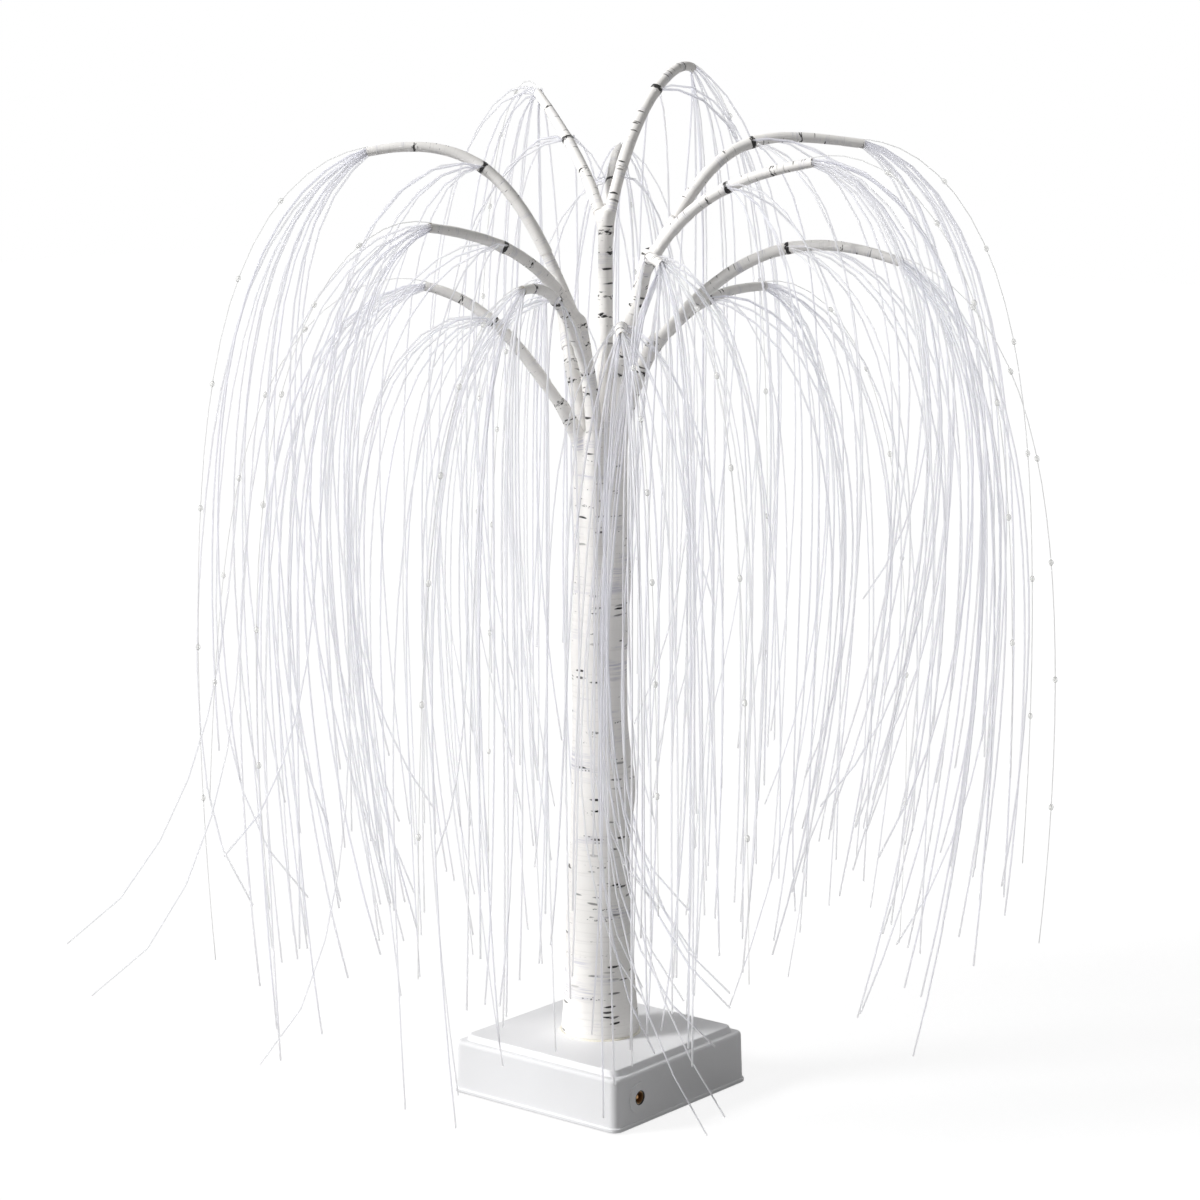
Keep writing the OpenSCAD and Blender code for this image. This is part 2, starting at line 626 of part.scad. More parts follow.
module crown_lead() {
  ex = board_x - board_w / 2 + 3;
  r = 1.3;
  ty = r + 0.4 - (tube_d / 2 - tube_wall);
  c = [[ex, board_y - 6, board_top], [ex, board_y - 6, board_top + 9], [0, ty, tube_foot - 3.4],
    [0, ty, tube_foot - 1]];
  color([0.85, 0.85, 0.82])
  skin(concat(
    [for (i = [0 : 10]) ring(bez(c, i / 10), bez_dir(c, i / 10), [0, 1, 0], r, 8)],
    [ring([0, ty, tube_top - 1], [0, 0, 1], [0, 1, 0], r, 8)]));
}

module trunk_tube() {
  color([0.70, 0.70, 0.72])
  translate([0, 0, tube_foot]) difference() {
    cylinder(d = tube_d, h = tube_top - tube_foot, $fn = 64);
    translate([0, 0, -1]) cylinder(d = tube_d - 2 * tube_wall, h = tube_top - tube_foot + 2, $fn = 64);
  }
}

module tube_washer() {
  color([0.70, 0.70, 0.72])
  translate([0, 0, ceiling_z - 1.5]) difference() {
    cylinder(d = 22, h = 1.5, $fn = 64);
    translate([0, 0, -1]) cylinder(d = tube_d + 0.4, h = 4, $fn = 48);
  }
}

module tube_nut() {
  color([0.70, 0.70, 0.72])
  translate([0, 0, ceiling_z - 7.5]) difference() {
    cylinder(d = 17.3, h = 6, $fn = 6);
    translate([0, 0, -1]) cylinder(d = tube_d + 0.1, h = 8, $fn = 64);
  }
}

// The trunk flares at its foot, and its top follows the ring of limbs that grow from it
TRUNK_SIDES = 40;
TRUNK_LEVELS = 24;
FLARE = 88;
KNOB_H = 24;
RIPPLE = 0.5;
function lobe(az, psi) =
  let (s = limb_ring * sin(az - psi), a = limb_d / 2)
  (cos(az - psi) > 0 && abs(s) < a) ? limb_ring * cos(az - psi) + sqrt(a * a - s * s) : 0;
function crest(az) = max(concat([13], [for (l = LIMBS) lobe(az, l[0] + TURN)]));
function knob(az, z) = [for (k = KNOBS)
  k[2] * exp(-pow((z - k[0]) / KNOB_H, 2)) * max(0, cos(az - k[1] - TURN))] * [for (k = KNOBS) 1];
function trunk_round(z) = trunk_waist_d / 2 + (trunk_foot_d - trunk_waist_d) / 2 * exp(-(z - base_h) / FLARE);
function trunk_r(az, z) =
  let (f = (z - base_h) / (trunk_top - base_h), w = pow(f, 4))
  (1 - w) * (trunk_round(z) + RIPPLE * sin(3 * az + 0.9 * z) * (1 - f) * min(1, 4 * f)) + w * crest(az)
  + knob(az, z) * (1 - w);

module trunk() {
  color([0.94, 0.93, 0.91])
  difference() {
    skin([for (i = [0 : TRUNK_LEVELS - 1])
      let (f = pow(i / (TRUNK_LEVELS - 1), 1.15), z = base_h + (trunk_top - base_h) * f)
      [for (k = [0 : TRUNK_SIDES - 1]) let (az = 360 * k / TRUNK_SIDES) polar(az, trunk_r(az, z), z)]]);
    translate([0, 0, base_h - 1]) cylinder(d = tube_d + 0.1, h = tube_top - base_h + 1, $fn = 64);
    for (j = [0 : len(LIMBS) - 1]) translate(limb_foot(j) - [0, 0, 18.5]) cylinder(d = 4.1, h = 20, $fn = 32);
  }
}

base_housing();
base_plate();
rubber_feet();
plate_screws();
battery_door();
battery_cells();
battery_springs();
contact_plates();
circuit_board();
board_screws();
switch_body();
switch_slider();
dc_jack();
jack_contacts();
base_leads();
crown_lead();
trunk_tube();
tube_washer();
tube_nut();
trunk();
limb(0);  // limb_1
limb(1);  // limb_2
limb(2);  // limb_3
limb(3);  // limb_4
limb(4);  // limb_5
limb(5);  // limb_6
branch(0);  // branch_01
branch(1);  // branch_02
branch(2);  // branch_03
branch(3);  // branch_04
branch(4);  // branch_05
branch(5);  // branch_06
branch(6);  // branch_07
branch(7);  // branch_08
branch(8);  // branch_09
branch(9);  // branch_10
branch(10);  // branch_11
branch(11);  // branch_12
branch(12);  // branch_13
branch(13);  // branch_14
strand_set(0);  // strands_01
strand_set(1);  // strands_02
strand_set(2);  // strands_03
strand_set(3);  // strands_04
strand_set(4);  // strands_05
strand_set(5);  // strands_06
strand_set(6);  // strands_07
strand_set(7);  // strands_08
strand_set(8);  // strands_09
strand_set(9);  // strands_10
strand_set(10);  // strands_11
strand_set(11);  // strands_12
strand_set(12);  // strands_13
strand_set(13);  // strands_14
led_set([0, 1, 2, 3]);  // led_string_1
led_set([4, 5, 6, 7]);  // led_string_2
led_set([8, 9, 10, 11]);  // led_string_3
led_set([12, 13]);  // led_string_4
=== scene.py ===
# %% [markdown]
# # A white birch lamp with a weeping crown
# The lamp is a small birch on a square battery base. Its trunk forks into limbs and branches, and thin
# white strands arch out of the branches and hang almost to the table. The solid model comes first, as a
# fixed frame. Everything made below is in metres in that frame, so a piece goes where the solid model
# says.

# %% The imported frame
import json
import math
from collections import namedtuple

import bmesh
import bpy
import numpy as np
from mathutils import Matrix, Vector, noise


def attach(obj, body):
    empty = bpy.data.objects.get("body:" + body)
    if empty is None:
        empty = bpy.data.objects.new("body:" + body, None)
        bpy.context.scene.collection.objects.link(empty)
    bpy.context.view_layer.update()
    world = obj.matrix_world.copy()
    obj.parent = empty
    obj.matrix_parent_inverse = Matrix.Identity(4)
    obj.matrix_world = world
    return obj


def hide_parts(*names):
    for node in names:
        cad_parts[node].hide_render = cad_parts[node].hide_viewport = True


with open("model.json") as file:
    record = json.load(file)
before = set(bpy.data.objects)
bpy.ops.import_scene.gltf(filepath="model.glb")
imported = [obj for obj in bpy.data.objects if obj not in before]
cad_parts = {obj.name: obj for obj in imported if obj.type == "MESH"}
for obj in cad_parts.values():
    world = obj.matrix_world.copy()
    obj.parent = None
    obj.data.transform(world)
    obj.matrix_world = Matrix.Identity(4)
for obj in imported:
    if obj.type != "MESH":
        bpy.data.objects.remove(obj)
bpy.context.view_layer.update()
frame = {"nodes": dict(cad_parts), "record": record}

MM = 0.001

# %% [markdown]
# ## The camera
# The photograph looks down a little, from in front of the right wall of the base. A long lens from
# 1.8 m keeps the upright lines almost parallel. The camera comes first, so that each later step can be
# looked at.

# %% Camera
VIEW_AZIMUTH = math.radians(38.99)
VIEW_ELEVATION = math.radians(9.84)
VIEW_DISTANCE = 1.8
AIM = Vector((0, 0, 0.2898))
LENS = 94.58
SENSOR = 36.0

toward_camera = Vector((
    math.sin(VIEW_AZIMUTH) * math.cos(VIEW_ELEVATION),
    -math.cos(VIEW_AZIMUTH) * math.cos(VIEW_ELEVATION),
    math.sin(VIEW_ELEVATION)))
camera = bpy.data.objects.new("camera", bpy.data.cameras.new("camera"))
camera.data.lens = LENS
camera.data.sensor_width = SENSOR
camera.location = AIM + VIEW_DISTANCE * toward_camera
camera.rotation_euler = toward_camera.to_track_quat("Z", "Y").to_euler()
bpy.context.scene.collection.objects.link(camera)
bpy.context.scene.camera = camera
print("camera at", [round(c, 3) for c in camera.location])

# %% [markdown]
# ## Writing finishes as sums
# A finish is a small web of nodes. Drawing such a web by hand is slow to read, so a few small classes
# let it be written as sums: a Wire is one output of a node, and adding or multiplying Wires grows Math
# nodes. Any other node comes from one method, which sets the node's options first and then its sockets.
# The floor and the backdrop are webs as well, and a Finish is a web that ends in a surface shader.

# %% Wire, Web and Finish
# the colour sockets of a Mix node, which also has sockets for numbers and for vectors
MIX_A = 6
MIX_B = 7
MIX_OUT = 2


class Wire:
    """One output of a node in a web."""

    def __init__(self, web, socket):
        self.web = web
        self.socket = socket

    def math(self, operation, *others, swap=False):
        terms = [self, *others]
        if swap:
            terms.reverse()
        return self.web.node("Math", {"operation": operation}, dict(enumerate(terms)))

    def __add__(self, other):
        return self.math("ADD", other)

    def __radd__(self, other):
        return self.math("ADD", other)

    def __sub__(self, other):
        return self.math("SUBTRACT", other)

    def __rsub__(self, other):
        return self.math("SUBTRACT", other, swap=True)

    def __mul__(self, other):
        return self.math("MULTIPLY", other)

    def __rmul__(self, other):
        return self.math("MULTIPLY", other)

    def __gt__(self, other):
        return self.math("GREATER_THAN", other)

    def top(self, other):
        return self.math("MAXIMUM", other)

    def ramp(self, low, high):
        """0 below low, 1 above high and straight between them; high may be the smaller one."""
        sockets = {0: self, 1: low, 2: high, 3: 0.0, 4: 1.0}
        return self.web.node("MapRange", {"clamp": True}, sockets)

    def out(self, name):
        """Another output of the same node."""
        return Wire(self.web, self.socket.node.outputs[name])


class Web:
    """A tree of nodes that is grown by calls."""

    def __init__(self, tree):
        self.tree = tree

    def feed(self, socket, value):
        if isinstance(value, Wire):
            self.tree.links.new(value.socket, socket)
        elif socket.type == "RGBA" and len(value) == 3:
            socket.default_value = (*value, 1.0)
        else:
            socket.default_value = value

    def node(self, kind, settings, sockets, output=0):
        made = self.tree.nodes.new("ShaderNode" + kind)
        for key, value in settings.items():
            setattr(made, key, value)
        for key, value in sockets.items():
            self.feed(made.inputs[key], value)
        return Wire(self, made.outputs[output]) if made.outputs else None

    def mix(self, factor, a, b):
        """Colour a where the factor is 0 and colour b where it is 1."""
        return self.node("Mix", {"data_type": "RGBA"}, {0: factor, MIX_A: a, MIX_B: b}, MIX_OUT)

    def stretched(self, vector, scale):
        return self.node("VectorMath", {"operation": "MULTIPLY"}, {0: vector, 1: scale})

    def noise(self, vector, scale, detail=2.0):
        """Soft noise from 0 to 1, finer along an axis where the scale is larger."""
        place = self.stretched(vector, scale)
        return self.node("TexNoise", {}, {"Vector": place, "Scale": 1.0, "Detail": detail})

    def object_place(self):
        return self.node("TexCoord", {}, {}, "Object")

    def attribute(self, name, output="Vector"):
        return self.node("Attribute", {"attribute_name": name}, {}, output)


class Finish(Web):
    """One material: constants go straight on its shader, and what varies is fed by Wires."""

    def __init__(self, name, **constants):
        self.material = bpy.data.materials.new(name)
        self.material.use_nodes = True
        super().__init__(self.material.node_tree)
        self.shader = self.tree.nodes["Principled BSDF"]
        self.give(**constants)

    def give(self, **values):
        for key, value in values.items():
            self.feed(self.shader.inputs[key.replace("_", " ")], value)

    def bump(self, height, strength, distance):
        sockets = {"Height": height, "Strength": strength, "Distance": distance}
        self.give(Normal=self.node("Bump", {}, sockets))


print("finishes are written as sums of wires")

# %% [markdown]
# ## Birch bark
# The trunk and branches are wrapped in a white birch print: short black bars across the stem, rows of
# dots, faint lavender smudges and dark scars where a branch forks or is bound. The print runs across
# each stem however it bends, so Object coordinates won't do. Each stem instead carries an attribute
# that says where a point would be if the stem were pulled straight along Z. A second attribute marks
# the scars.

# %% Bark finish
BARK_WHITE = (0.97, 0.95, 0.92)
BARK_CREAM = (0.94, 0.92, 0.89)
LAVENDER = (0.46, 0.46, 0.58)
HAIR_GREY = (0.45, 0.44, 0.43)
INK = (0.012, 0.011, 0.011)
PRINT_DRIFT = (0.002, 0.002, 0.0026)
BAR_CELLS = (105, 105, 560)
BAR_SHARE = 0.9
DOT_CELLS = (560, 560, 1000)


def birch_bark():
    f = Finish("birch_bark", Specular_IOR_Level=0.35)
    straight = f.attribute("bark")
    shift = f.noise(straight, (70, 70, 70)).out("Color")
    drift = f.node("VectorMath", {"operation": "MULTIPLY_ADD"}, {0: shift, 1: PRINT_DRIFT, 2: straight})

    # bars lie in a few of the flat cells, and are darker in some than in others
    bars = f.node("TexVoronoi", {}, {"Vector": f.stretched(drift, BAR_CELLS), "Scale": 1.0})
    chance = f.node("SeparateColor", {}, {0: bars.out("Color")})
    bar = bars.ramp(0.44, 0.30) * (chance > BAR_SHARE) * chance.ramp(0.87, 0.97)

    # dots fill small cells, in the rows that a flat noise picks out
    dots = f.node("TexVoronoi", {}, {"Vector": f.stretched(drift, DOT_CELLS), "Scale": 1.0})
    rows = f.noise(drift, (50, 50, 420), 0.0)
    dot = dots.ramp(0.42, 0.28) * rows.ramp(0.73, 0.77) * 0.8

    # scars have a ragged edge
    scar = f.attribute("scar", "Fac")
    ragged = f.noise(drift, (240, 240, 620), 3.0)
    torn = (scar + (ragged - 0.5) * 1.5).ramp(0.55, 0.68)

    # smudges are clouds cut into fine streaks, and hairs are faint lines round the stem
    cloud = f.noise(straight, (34, 34, 80), 3.0)
    streak = f.noise(straight, (45, 45, 1200), 1.0)
    smudge = cloud.ramp(0.54, 0.70) * streak.ramp(0.38, 0.62) * 0.6
    hair = f.noise(straight, (16, 16, 620)).ramp(0.58, 0.75)

    ink = bar.top(dot).top(torn)
    tone = f.mix(f.noise(straight, (9, 9, 22)), BARK_WHITE, BARK_CREAM)
    tone = f.mix(smudge, tone, LAVENDER)
    tone = f.mix(hair * 0.22, tone, HAIR_GREY)
    tone = f.mix(ink, tone, INK)
    f.give(Base_Color=tone, Roughness=0.58 - 0.16 * ink + 0.10 * hair)
    grain = f.noise(straight, (420, 420, 900))
    f.bump(grain * 0.35 - hair * 0.5 - ink * 0.6, 0.35, 0.0005)
    return f.material


BARK = birch_bark()
print("bark finish has", len(BARK.node_tree.nodes), "nodes")

# %% [markdown]
# ## Strands, beads and the cut ends
# The strands are thin extruded plastic, milky white, a little lavender in the thick of the crown and
# clearer at their tips. Most light gets through them. A strand is about as wide as one pixel, so light
# bent inside it would show as loose bright dots: an index close to 1 lets it pass almost straight. The
# beads are drops of clear resin on a wire in clear plastic. Tan glue holds the strands in the ends of
# the branches, and paler glue rings the foot.


# %% Strand, bead, wire and glue finishes
def strand_plastic():
    f = Finish("willow_strand", Transmission_Weight=0.7, IOR=1.03)
    along = f.node("SeparateXYZ", {}, {0: f.attribute("strand")})
    tint = along.out("Y")
    end = along.out("Z")
    line = f.node("CombineXYZ", {}, {"X": along * 22.0, "Y": tint * 57.0})
    wave = f.node("TexNoise", {}, {"Vector": line, "Scale": 1.0, "Detail": 2.0})
    tone = f.mix(tint, (0.93, 0.93, 0.965), (0.975, 0.975, 0.985))
    tone = f.mix(wave.ramp(0.35, 0.75) * 0.5, tone, (0.91, 0.91, 0.955))
    tone = f.mix(end.ramp(0.94, 1.0) * 0.7, tone, (0.98, 0.98, 0.985))
    f.give(Base_Color=tone, Roughness=0.45 + 0.2 * wave)
    return f.material


def bead_resin():
    f = Finish("bead_resin", Transmission_Weight=0.8, IOR=1.4)
    swirl = f.noise(f.object_place(), (900, 900, 900))
    f.give(Base_Color=f.mix(swirl, (0.97, 0.97, 0.95), (0.93, 0.93, 0.92)), Roughness=0.10 + 0.18 * swirl)
    return f.material


def bead_wire():
    f = Finish("bead_wire", Transmission_Weight=0.6, IOR=1.03)
    worn = f.noise(f.object_place(), (700, 700, 160))
    f.give(Base_Color=f.mix(worn, (0.95, 0.95, 0.95), (0.88, 0.88, 0.87)), Roughness=0.30 + 0.25 * worn)
    return f.material


def dried_glue(name, dark, light):
    f = Finish(name, Coat_Weight=0.2)
    lump = f.noise(f.object_place(), (900, 900, 900), 3.0)
    f.give(Base_Color=f.mix(lump, dark, light), Roughness=0.35 + 0.3 * lump)
    f.bump(lump, 0.5, 0.0006)
    return f.material


STRAND = strand_plastic()
BEAD = bead_resin()
WIRE = bead_wire()
GLUE = dried_glue("cut_glue", (0.58, 0.48, 0.30), (0.86, 0.82, 0.70))
FOOT_GLUE = dried_glue("foot_glue", (0.78, 0.73, 0.60), (0.92, 0.90, 0.83))
print("strand, bead, wire and glue finishes are ready")

# %% [markdown]
# ## The plan of the tree
# Six limbs stand in a ring on the trunk, and each carries one or more of the fourteen branches. The
# tables repeat the design sizes of the solid model, in millimetres and degrees. A limb or a branch is
# one cubic curve, bent so that it leaves its parent along the parent's own direction.

# %% Tables and curves
BASE_H = 35.0
TRUNK_TOP = 372.0
TRUNK_FOOT_D = 46.0
TRUNK_WAIST_D = 30.0
LIMB_RING = 11.0
LIMB_D = 10.0
BRANCH_D = 7.2
TIP_D = 6.0
CROWN_TURN = 39.0
STRAND_L = 420.0
BEND_L = 92.0
LIMB_RISE = 0.40
LIMB_LEAN = 0.55
LIMB_DROP = 0.35
PARENT_PULL = 2
RINGS = 16
KNOT_AT = 9

# azimuth of the foot, azimuth of the fork, its distance from the axis, its height
LIMBS = [
    (200, 202, 23, 402), (255, 228, 17, 450), (75, 78, 15, 506),
    (312, 338, 29, 487), (12, 8, 31, 438), (138, 130, 26, 424)]

# leave is the place on the limb, bound the number of rings that are wrapped with the limb, and factor
# the length of the strands; first and last say how far the curve keeps its way at either end
Branch = namedtuple("Branch", "limb leave azimuth reach tip_z slope bound factor first last")
BRANCHES = [Branch(*row) for row in [
    (0, 0.90, 184, 98, 469, 12, 3, 1.00, 0.36, 0.36),
    (1, 0.90, 218, 116, 505, 8, 3, 1.00, 0.42, 0.36),
    (1, 0.90, 178, 130, 543, -12, 4, 1.06, 0.50, 0.46),
    (1, 0.55, 243, 92, 472, -6, 4, 0.98, 0.40, 0.40),
    (5, 0.90, 110, 95, 466, 0, 3, 0.95, 0.36, 0.40),
    (2, 0.90, 108, 118, 574, 22, 3, 1.06, 0.26, 0.30),
    (2, 0.90, 60, 108, 589, -16, 4, 1.08, 0.50, 0.22),
    (2, 0.62, 84, 112, 542, 4, 5, 1.02, 0.40, 0.40),
    (3, 0.90, 8, 150, 547, -8, 3, 1.04, 0.60, 0.50),
    (3, 0.90, 336, 126, 539, 10, 4, 1.04, 0.40, 0.40),
    (3, 0.80, 295, 80, 485, -14, 4, 0.94, 0.40, 0.34),
    (3, 0.45, 279, 76, 447, -12, 5, 0.92, 0.40, 0.34),
    (4, 0.90, 350, 168, 484, -20, 3, 0.98, 0.48, 0.40),
    (4, 0.80, 34, 116, 464, 0, 4, 0.95, 0.36, 0.40)]]

# height, azimuth and size of the swellings of the trunk
KNOBS = [(181, 8, 4.4), (110, 190, 1.0), (266, 172, 2.0), (306, 0, 4.0)]
KNOB_H = 24.0
FLARE = 88.0
LOBE_POWER = 4
LOBE_CORE = 13.0
RIPPLE = 0.5
RIPPLE_LOBES = 3
RIPPLE_TWIST = 0.9
RIPPLE_START = 4


def polar(azimuth, distance, height):
    a = math.radians(azimuth + CROWN_TURN)
    return Vector((distance * math.cos(a), distance * math.sin(a), height))


def on_curve(c, t):
    return (1 - t) ** 3 * c[0] + 3 * t * (1 - t) ** 2 * c[1] + 3 * t * t * (1 - t) * c[2] + t ** 3 * c[3]


def curve_way(c, t):
    way = (1 - t) ** 2 * (c[1] - c[0]) + 2 * t * (1 - t) * (c[2] - c[1]) + t * t * (c[3] - c[2])
    return way.normalized()


def limb_curve(limb):
    foot_az, fork_az, fork_r, fork_z = LIMBS[limb]
    a = polar(foot_az, LIMB_RING, TRUNK_TOP)
    b = polar(fork_az, fork_r, fork_z)
    h = b.z - a.z
    middle = (1 - LIMB_LEAN) * a + LIMB_LEAN * b
    return [a, a + Vector((0, 0, LIMB_RISE * h)), Vector((middle.x, middle.y, b.z - LIMB_DROP * h)), b]


def tip_way(i):
    slope = math.radians(BRANCHES[i].slope)
    flat = polar(BRANCHES[i].azimuth, 1, 0)
    return flat * math.cos(slope) + Vector((0, 0, math.sin(slope)))


def branch_curve(i):
    row = BRANCHES[i]
    parent = limb_curve(row.limb)
    a = on_curve(parent, row.leave)
    e = polar(row.azimuth, row.reach, row.tip_z)
    d = (e - a).length
    lean = (PARENT_PULL * curve_way(parent, row.leave) + (e - a).normalized()).normalized()
    return [a, a + row.first * d * lean, e - row.last * d * tip_way(i), e]


def sideways(azimuth):
    a = math.radians(azimuth + CROWN_TURN)
    return Vector((-math.sin(a), math.cos(a), 0))


def across(way, side):
    """Two directions square to a way; the first is as near to side as it can be."""
    u = (side - side.dot(way) * way).normalized()
    return u, way.cross(u)


def spoke(pair, angle):
    """Direction at an angle in the plane of two directions."""
    u, v = pair
    return math.cos(angle) * u + math.sin(angle) * v


def branch_r(t):
    return (BRANCH_D + (TIP_D - BRANCH_D) * t) / 2


print(len(LIMBS), "limbs and", len(BRANCHES), "branches")

# %% [markdown]
# ## Rolling a grid into a stem
# Every stem and strand is a tube along a curve. A flat grid is rolled up: its rows become stations
# along the curve and its columns go round it. Where the two edges meet they are welded, and the open
# ends are filled. It is one operator and a rule for each point, and the rule can also say what the
# point's attributes are.

# %% Rolling helper
WELD = 1e-7
# what a rule gives for a tube whose finish reads no attribute from it
UNMARKED = (0, 0, 0)


def rolled(bm, stations, sides, rule, layer):
    """Adds a closed tube to bm. rule(i, angle) gives a point in mm and its attribute, kept in layer."""
    mark = bm.verts.layers.float_vector.get(layer) or bm.verts.layers.float_vector.new(layer)
    made = bmesh.ops.create_grid(bm, x_segments=stations, y_segments=sides, size=0.5)["verts"]
    for v in made:
        i = round((v.co.x + 0.5) * stations)
        k = round((v.co.y + 0.5) * sides)
        point, value = rule(i, 2 * math.pi * k / sides)
        v.co = MM * point
        v[mark] = value
    weld = bmesh.ops.find_doubles(bm, verts=made, dist=WELD)["targetmap"]
    kept = [v for v in made if v not in weld]
    bmesh.ops.weld_verts(bm, targetmap=weld)
    rims = {e for v in kept for e in v.link_edges if e.is_boundary}
    bmesh.ops.holes_fill(bm, edges=list(rims), sides=0)
    faces = {f for v in kept for f in v.link_faces}
    bmesh.ops.recalc_face_normals(bm, faces=list(faces))
    return faces


def piece(name, bm, finishes, crease=40):
    """Makes an object of a bmesh that rides on the lamp, smooth but for edges sharper than crease."""
    mesh = bpy.data.meshes.new(name)
    bm.to_mesh(mesh)
    bm.free()
    mesh.shade_smooth()
    mesh.set_sharp_from_angle(angle=math.radians(crease))
    for finish in finishes:
        mesh.materials.append(finish)
    made = bpy.data.objects.new(name, mesh)
    bpy.context.scene.collection.objects.link(made)
    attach(made, "lamp")
    return made


print("stems are rolled grids")

# %% [markdown]
# ## Trunk and limbs
# On the real lamp the trunk and its limbs are wrapped as one, so their forks are soft. Separate tubes
# would meet in sharp creases. The tubes are therefore made overlapping, turned into one skin by a voxel
# remesh, and smoothed. The remesh drops attributes, so each point then looks up the stem that it lies
# on, and takes its place on that stem.


# %% Trunk section
def lobe(az, psi):
    turn = math.radians(az - psi)
    s = LIMB_RING * math.sin(turn)
    if math.cos(turn) <= 0 or abs(s) >= LIMB_D / 2:
        return 0.0
    return LIMB_RING * math.cos(turn) + math.sqrt((LIMB_D / 2) ** 2 - s * s)


def trunk_r(az, z):
    """Radius of the trunk: a flare at the foot, and at the top the outline of the limbs."""
    f = min(1.0, max(0.0, (z - BASE_H) / (TRUNK_TOP - BASE_H)))
    w = f ** LOBE_POWER
    flare = TRUNK_WAIST_D / 2 + (TRUNK_FOOT_D - TRUNK_WAIST_D) / 2 * math.exp(-(z - BASE_H) / FLARE)
    wave = math.sin(math.radians(RIPPLE_LOBES * az + RIPPLE_TWIST * z))
    ripple = RIPPLE * wave * (1 - f) * min(1.0, RIPPLE_START * f)
    crest = max([LOBE_CORE] + [lobe(az, foot_az + CROWN_TURN) for foot_az, *_ in LIMBS])
    knob = 0.0
    for height, knob_az, size in KNOBS:
        facing = max(0.0, math.cos(math.radians(az - knob_az - CROWN_TURN)))
        knob += size * math.exp(-((z - height) / KNOB_H) ** 2) * facing
    return (1 - w) * (flare + ripple + knob) + w * crest


FOOT_SINK = 0.8
TRUNK_LUMP = 0.5
LUMPS_ROUND = 1.4
LUMPS_ALONG = 26
TRUNK_STATIONS = 120
TRUNK_SIDES = 72
tree = bmesh.new()


def trunk_rule(i, angle):
    z = BASE_H - FOOT_SINK + (TRUNK_TOP - BASE_H + FOOT_SINK) * i / TRUNK_STATIONS
    r = trunk_r(math.degrees(angle), max(z, BASE_H))
    x = math.cos(angle)
    y = math.sin(angle)
    lump = TRUNK_LUMP * noise.noise(Vector((LUMPS_ROUND * x, LUMPS_ROUND * y, z / LUMPS_ALONG)))
    return Vector(((r + lump) * x, (r + lump) * y, z)), UNMARKED


rolled(tree, TRUNK_STATIONS, TRUNK_SIDES, trunk_rule, "bark")
print("trunk tube has", len(tree.verts), "points")

# %% Limbs and the first part of each branch
STEM_STATIONS = 40
STEM_SIDES = 20
LIMB_ROOT = 34.0
LIMB_TAPER = 1.6
ROOT_IN = 1.2
FORK_IN = 1.5
stems = []


def add_stem(points, ways, radii, side):
    """Adds one tube to the tree, and keeps its axis for the bark to follow."""
    frames = [across(way, side) for way in ways]

    def rule(i, angle):
        return points[i] + radii[i] * spoke(frames[i], angle), UNMARKED

    rolled(tree, len(points) - 1, STEM_SIDES, rule, "bark")
    stems.append((points, ways, radii, frames))


for limb, (_, fork_az, _, _) in enumerate(LIMBS):
    c = limb_curve(limb)
    steps = [k / STEM_STATIONS for k in range(STEM_STATIONS + 1)]
    points = [c[0] - Vector((0, 0, LIMB_ROOT))] + [on_curve(c, t) for t in steps]
    ways = [Vector((0, 0, 1))] + [curve_way(c, t) for t in steps]
    radii = [LIMB_D / 2 - ROOT_IN] + [(LIMB_D - LIMB_TAPER * t) / 2 for t in steps]
    add_stem(points, ways, radii, sideways(fork_az))
    bmesh.ops.create_icosphere(tree, subdivisions=3, radius=MM * (LIMB_D - FORK_IN) / 2,
                               matrix=Matrix.Translation(MM * c[3]))

for i, row in enumerate(BRANCHES):
    c = branch_curve(i)
    steps = [k / STEM_STATIONS * row.bound / RINGS for k in range(STEM_STATIONS + 1)]
    points = [on_curve(c, t) for t in steps]
    ways = [curve_way(c, t) for t in steps]
    add_stem(points, ways, [branch_r(t) for t in steps], sideways(row.azimuth))
print(len(stems), "stems grow from the trunk")


# %% One skin over trunk and limbs
VOXEL = 0.0013
SMOOTHING = 5
trunk_bark = piece("trunk_bark", tree, [BARK])
remesh = trunk_bark.modifiers.new("one skin", "REMESH")
remesh.mode = "VOXEL"
remesh.voxel_size = VOXEL
graph = bpy.context.evaluated_depsgraph_get()
skin = bpy.data.meshes.new_from_object(trunk_bark.evaluated_get(graph))
trunk_bark.modifiers.clear()

bm = bmesh.new()
bm.from_mesh(skin)
for _ in range(SMOOTHING):
    bmesh.ops.smooth_vert(bm, verts=bm.verts, factor=0.5,
                          use_axis_x=True, use_axis_y=True, use_axis_z=True)
bm.to_mesh(skin)
bm.free()
skin.shade_smooth()
skin.materials.clear()
skin.materials.append(BARK)
trunk_bark.data = skin
print("trunk skin has", len(skin.polygons), "faces")


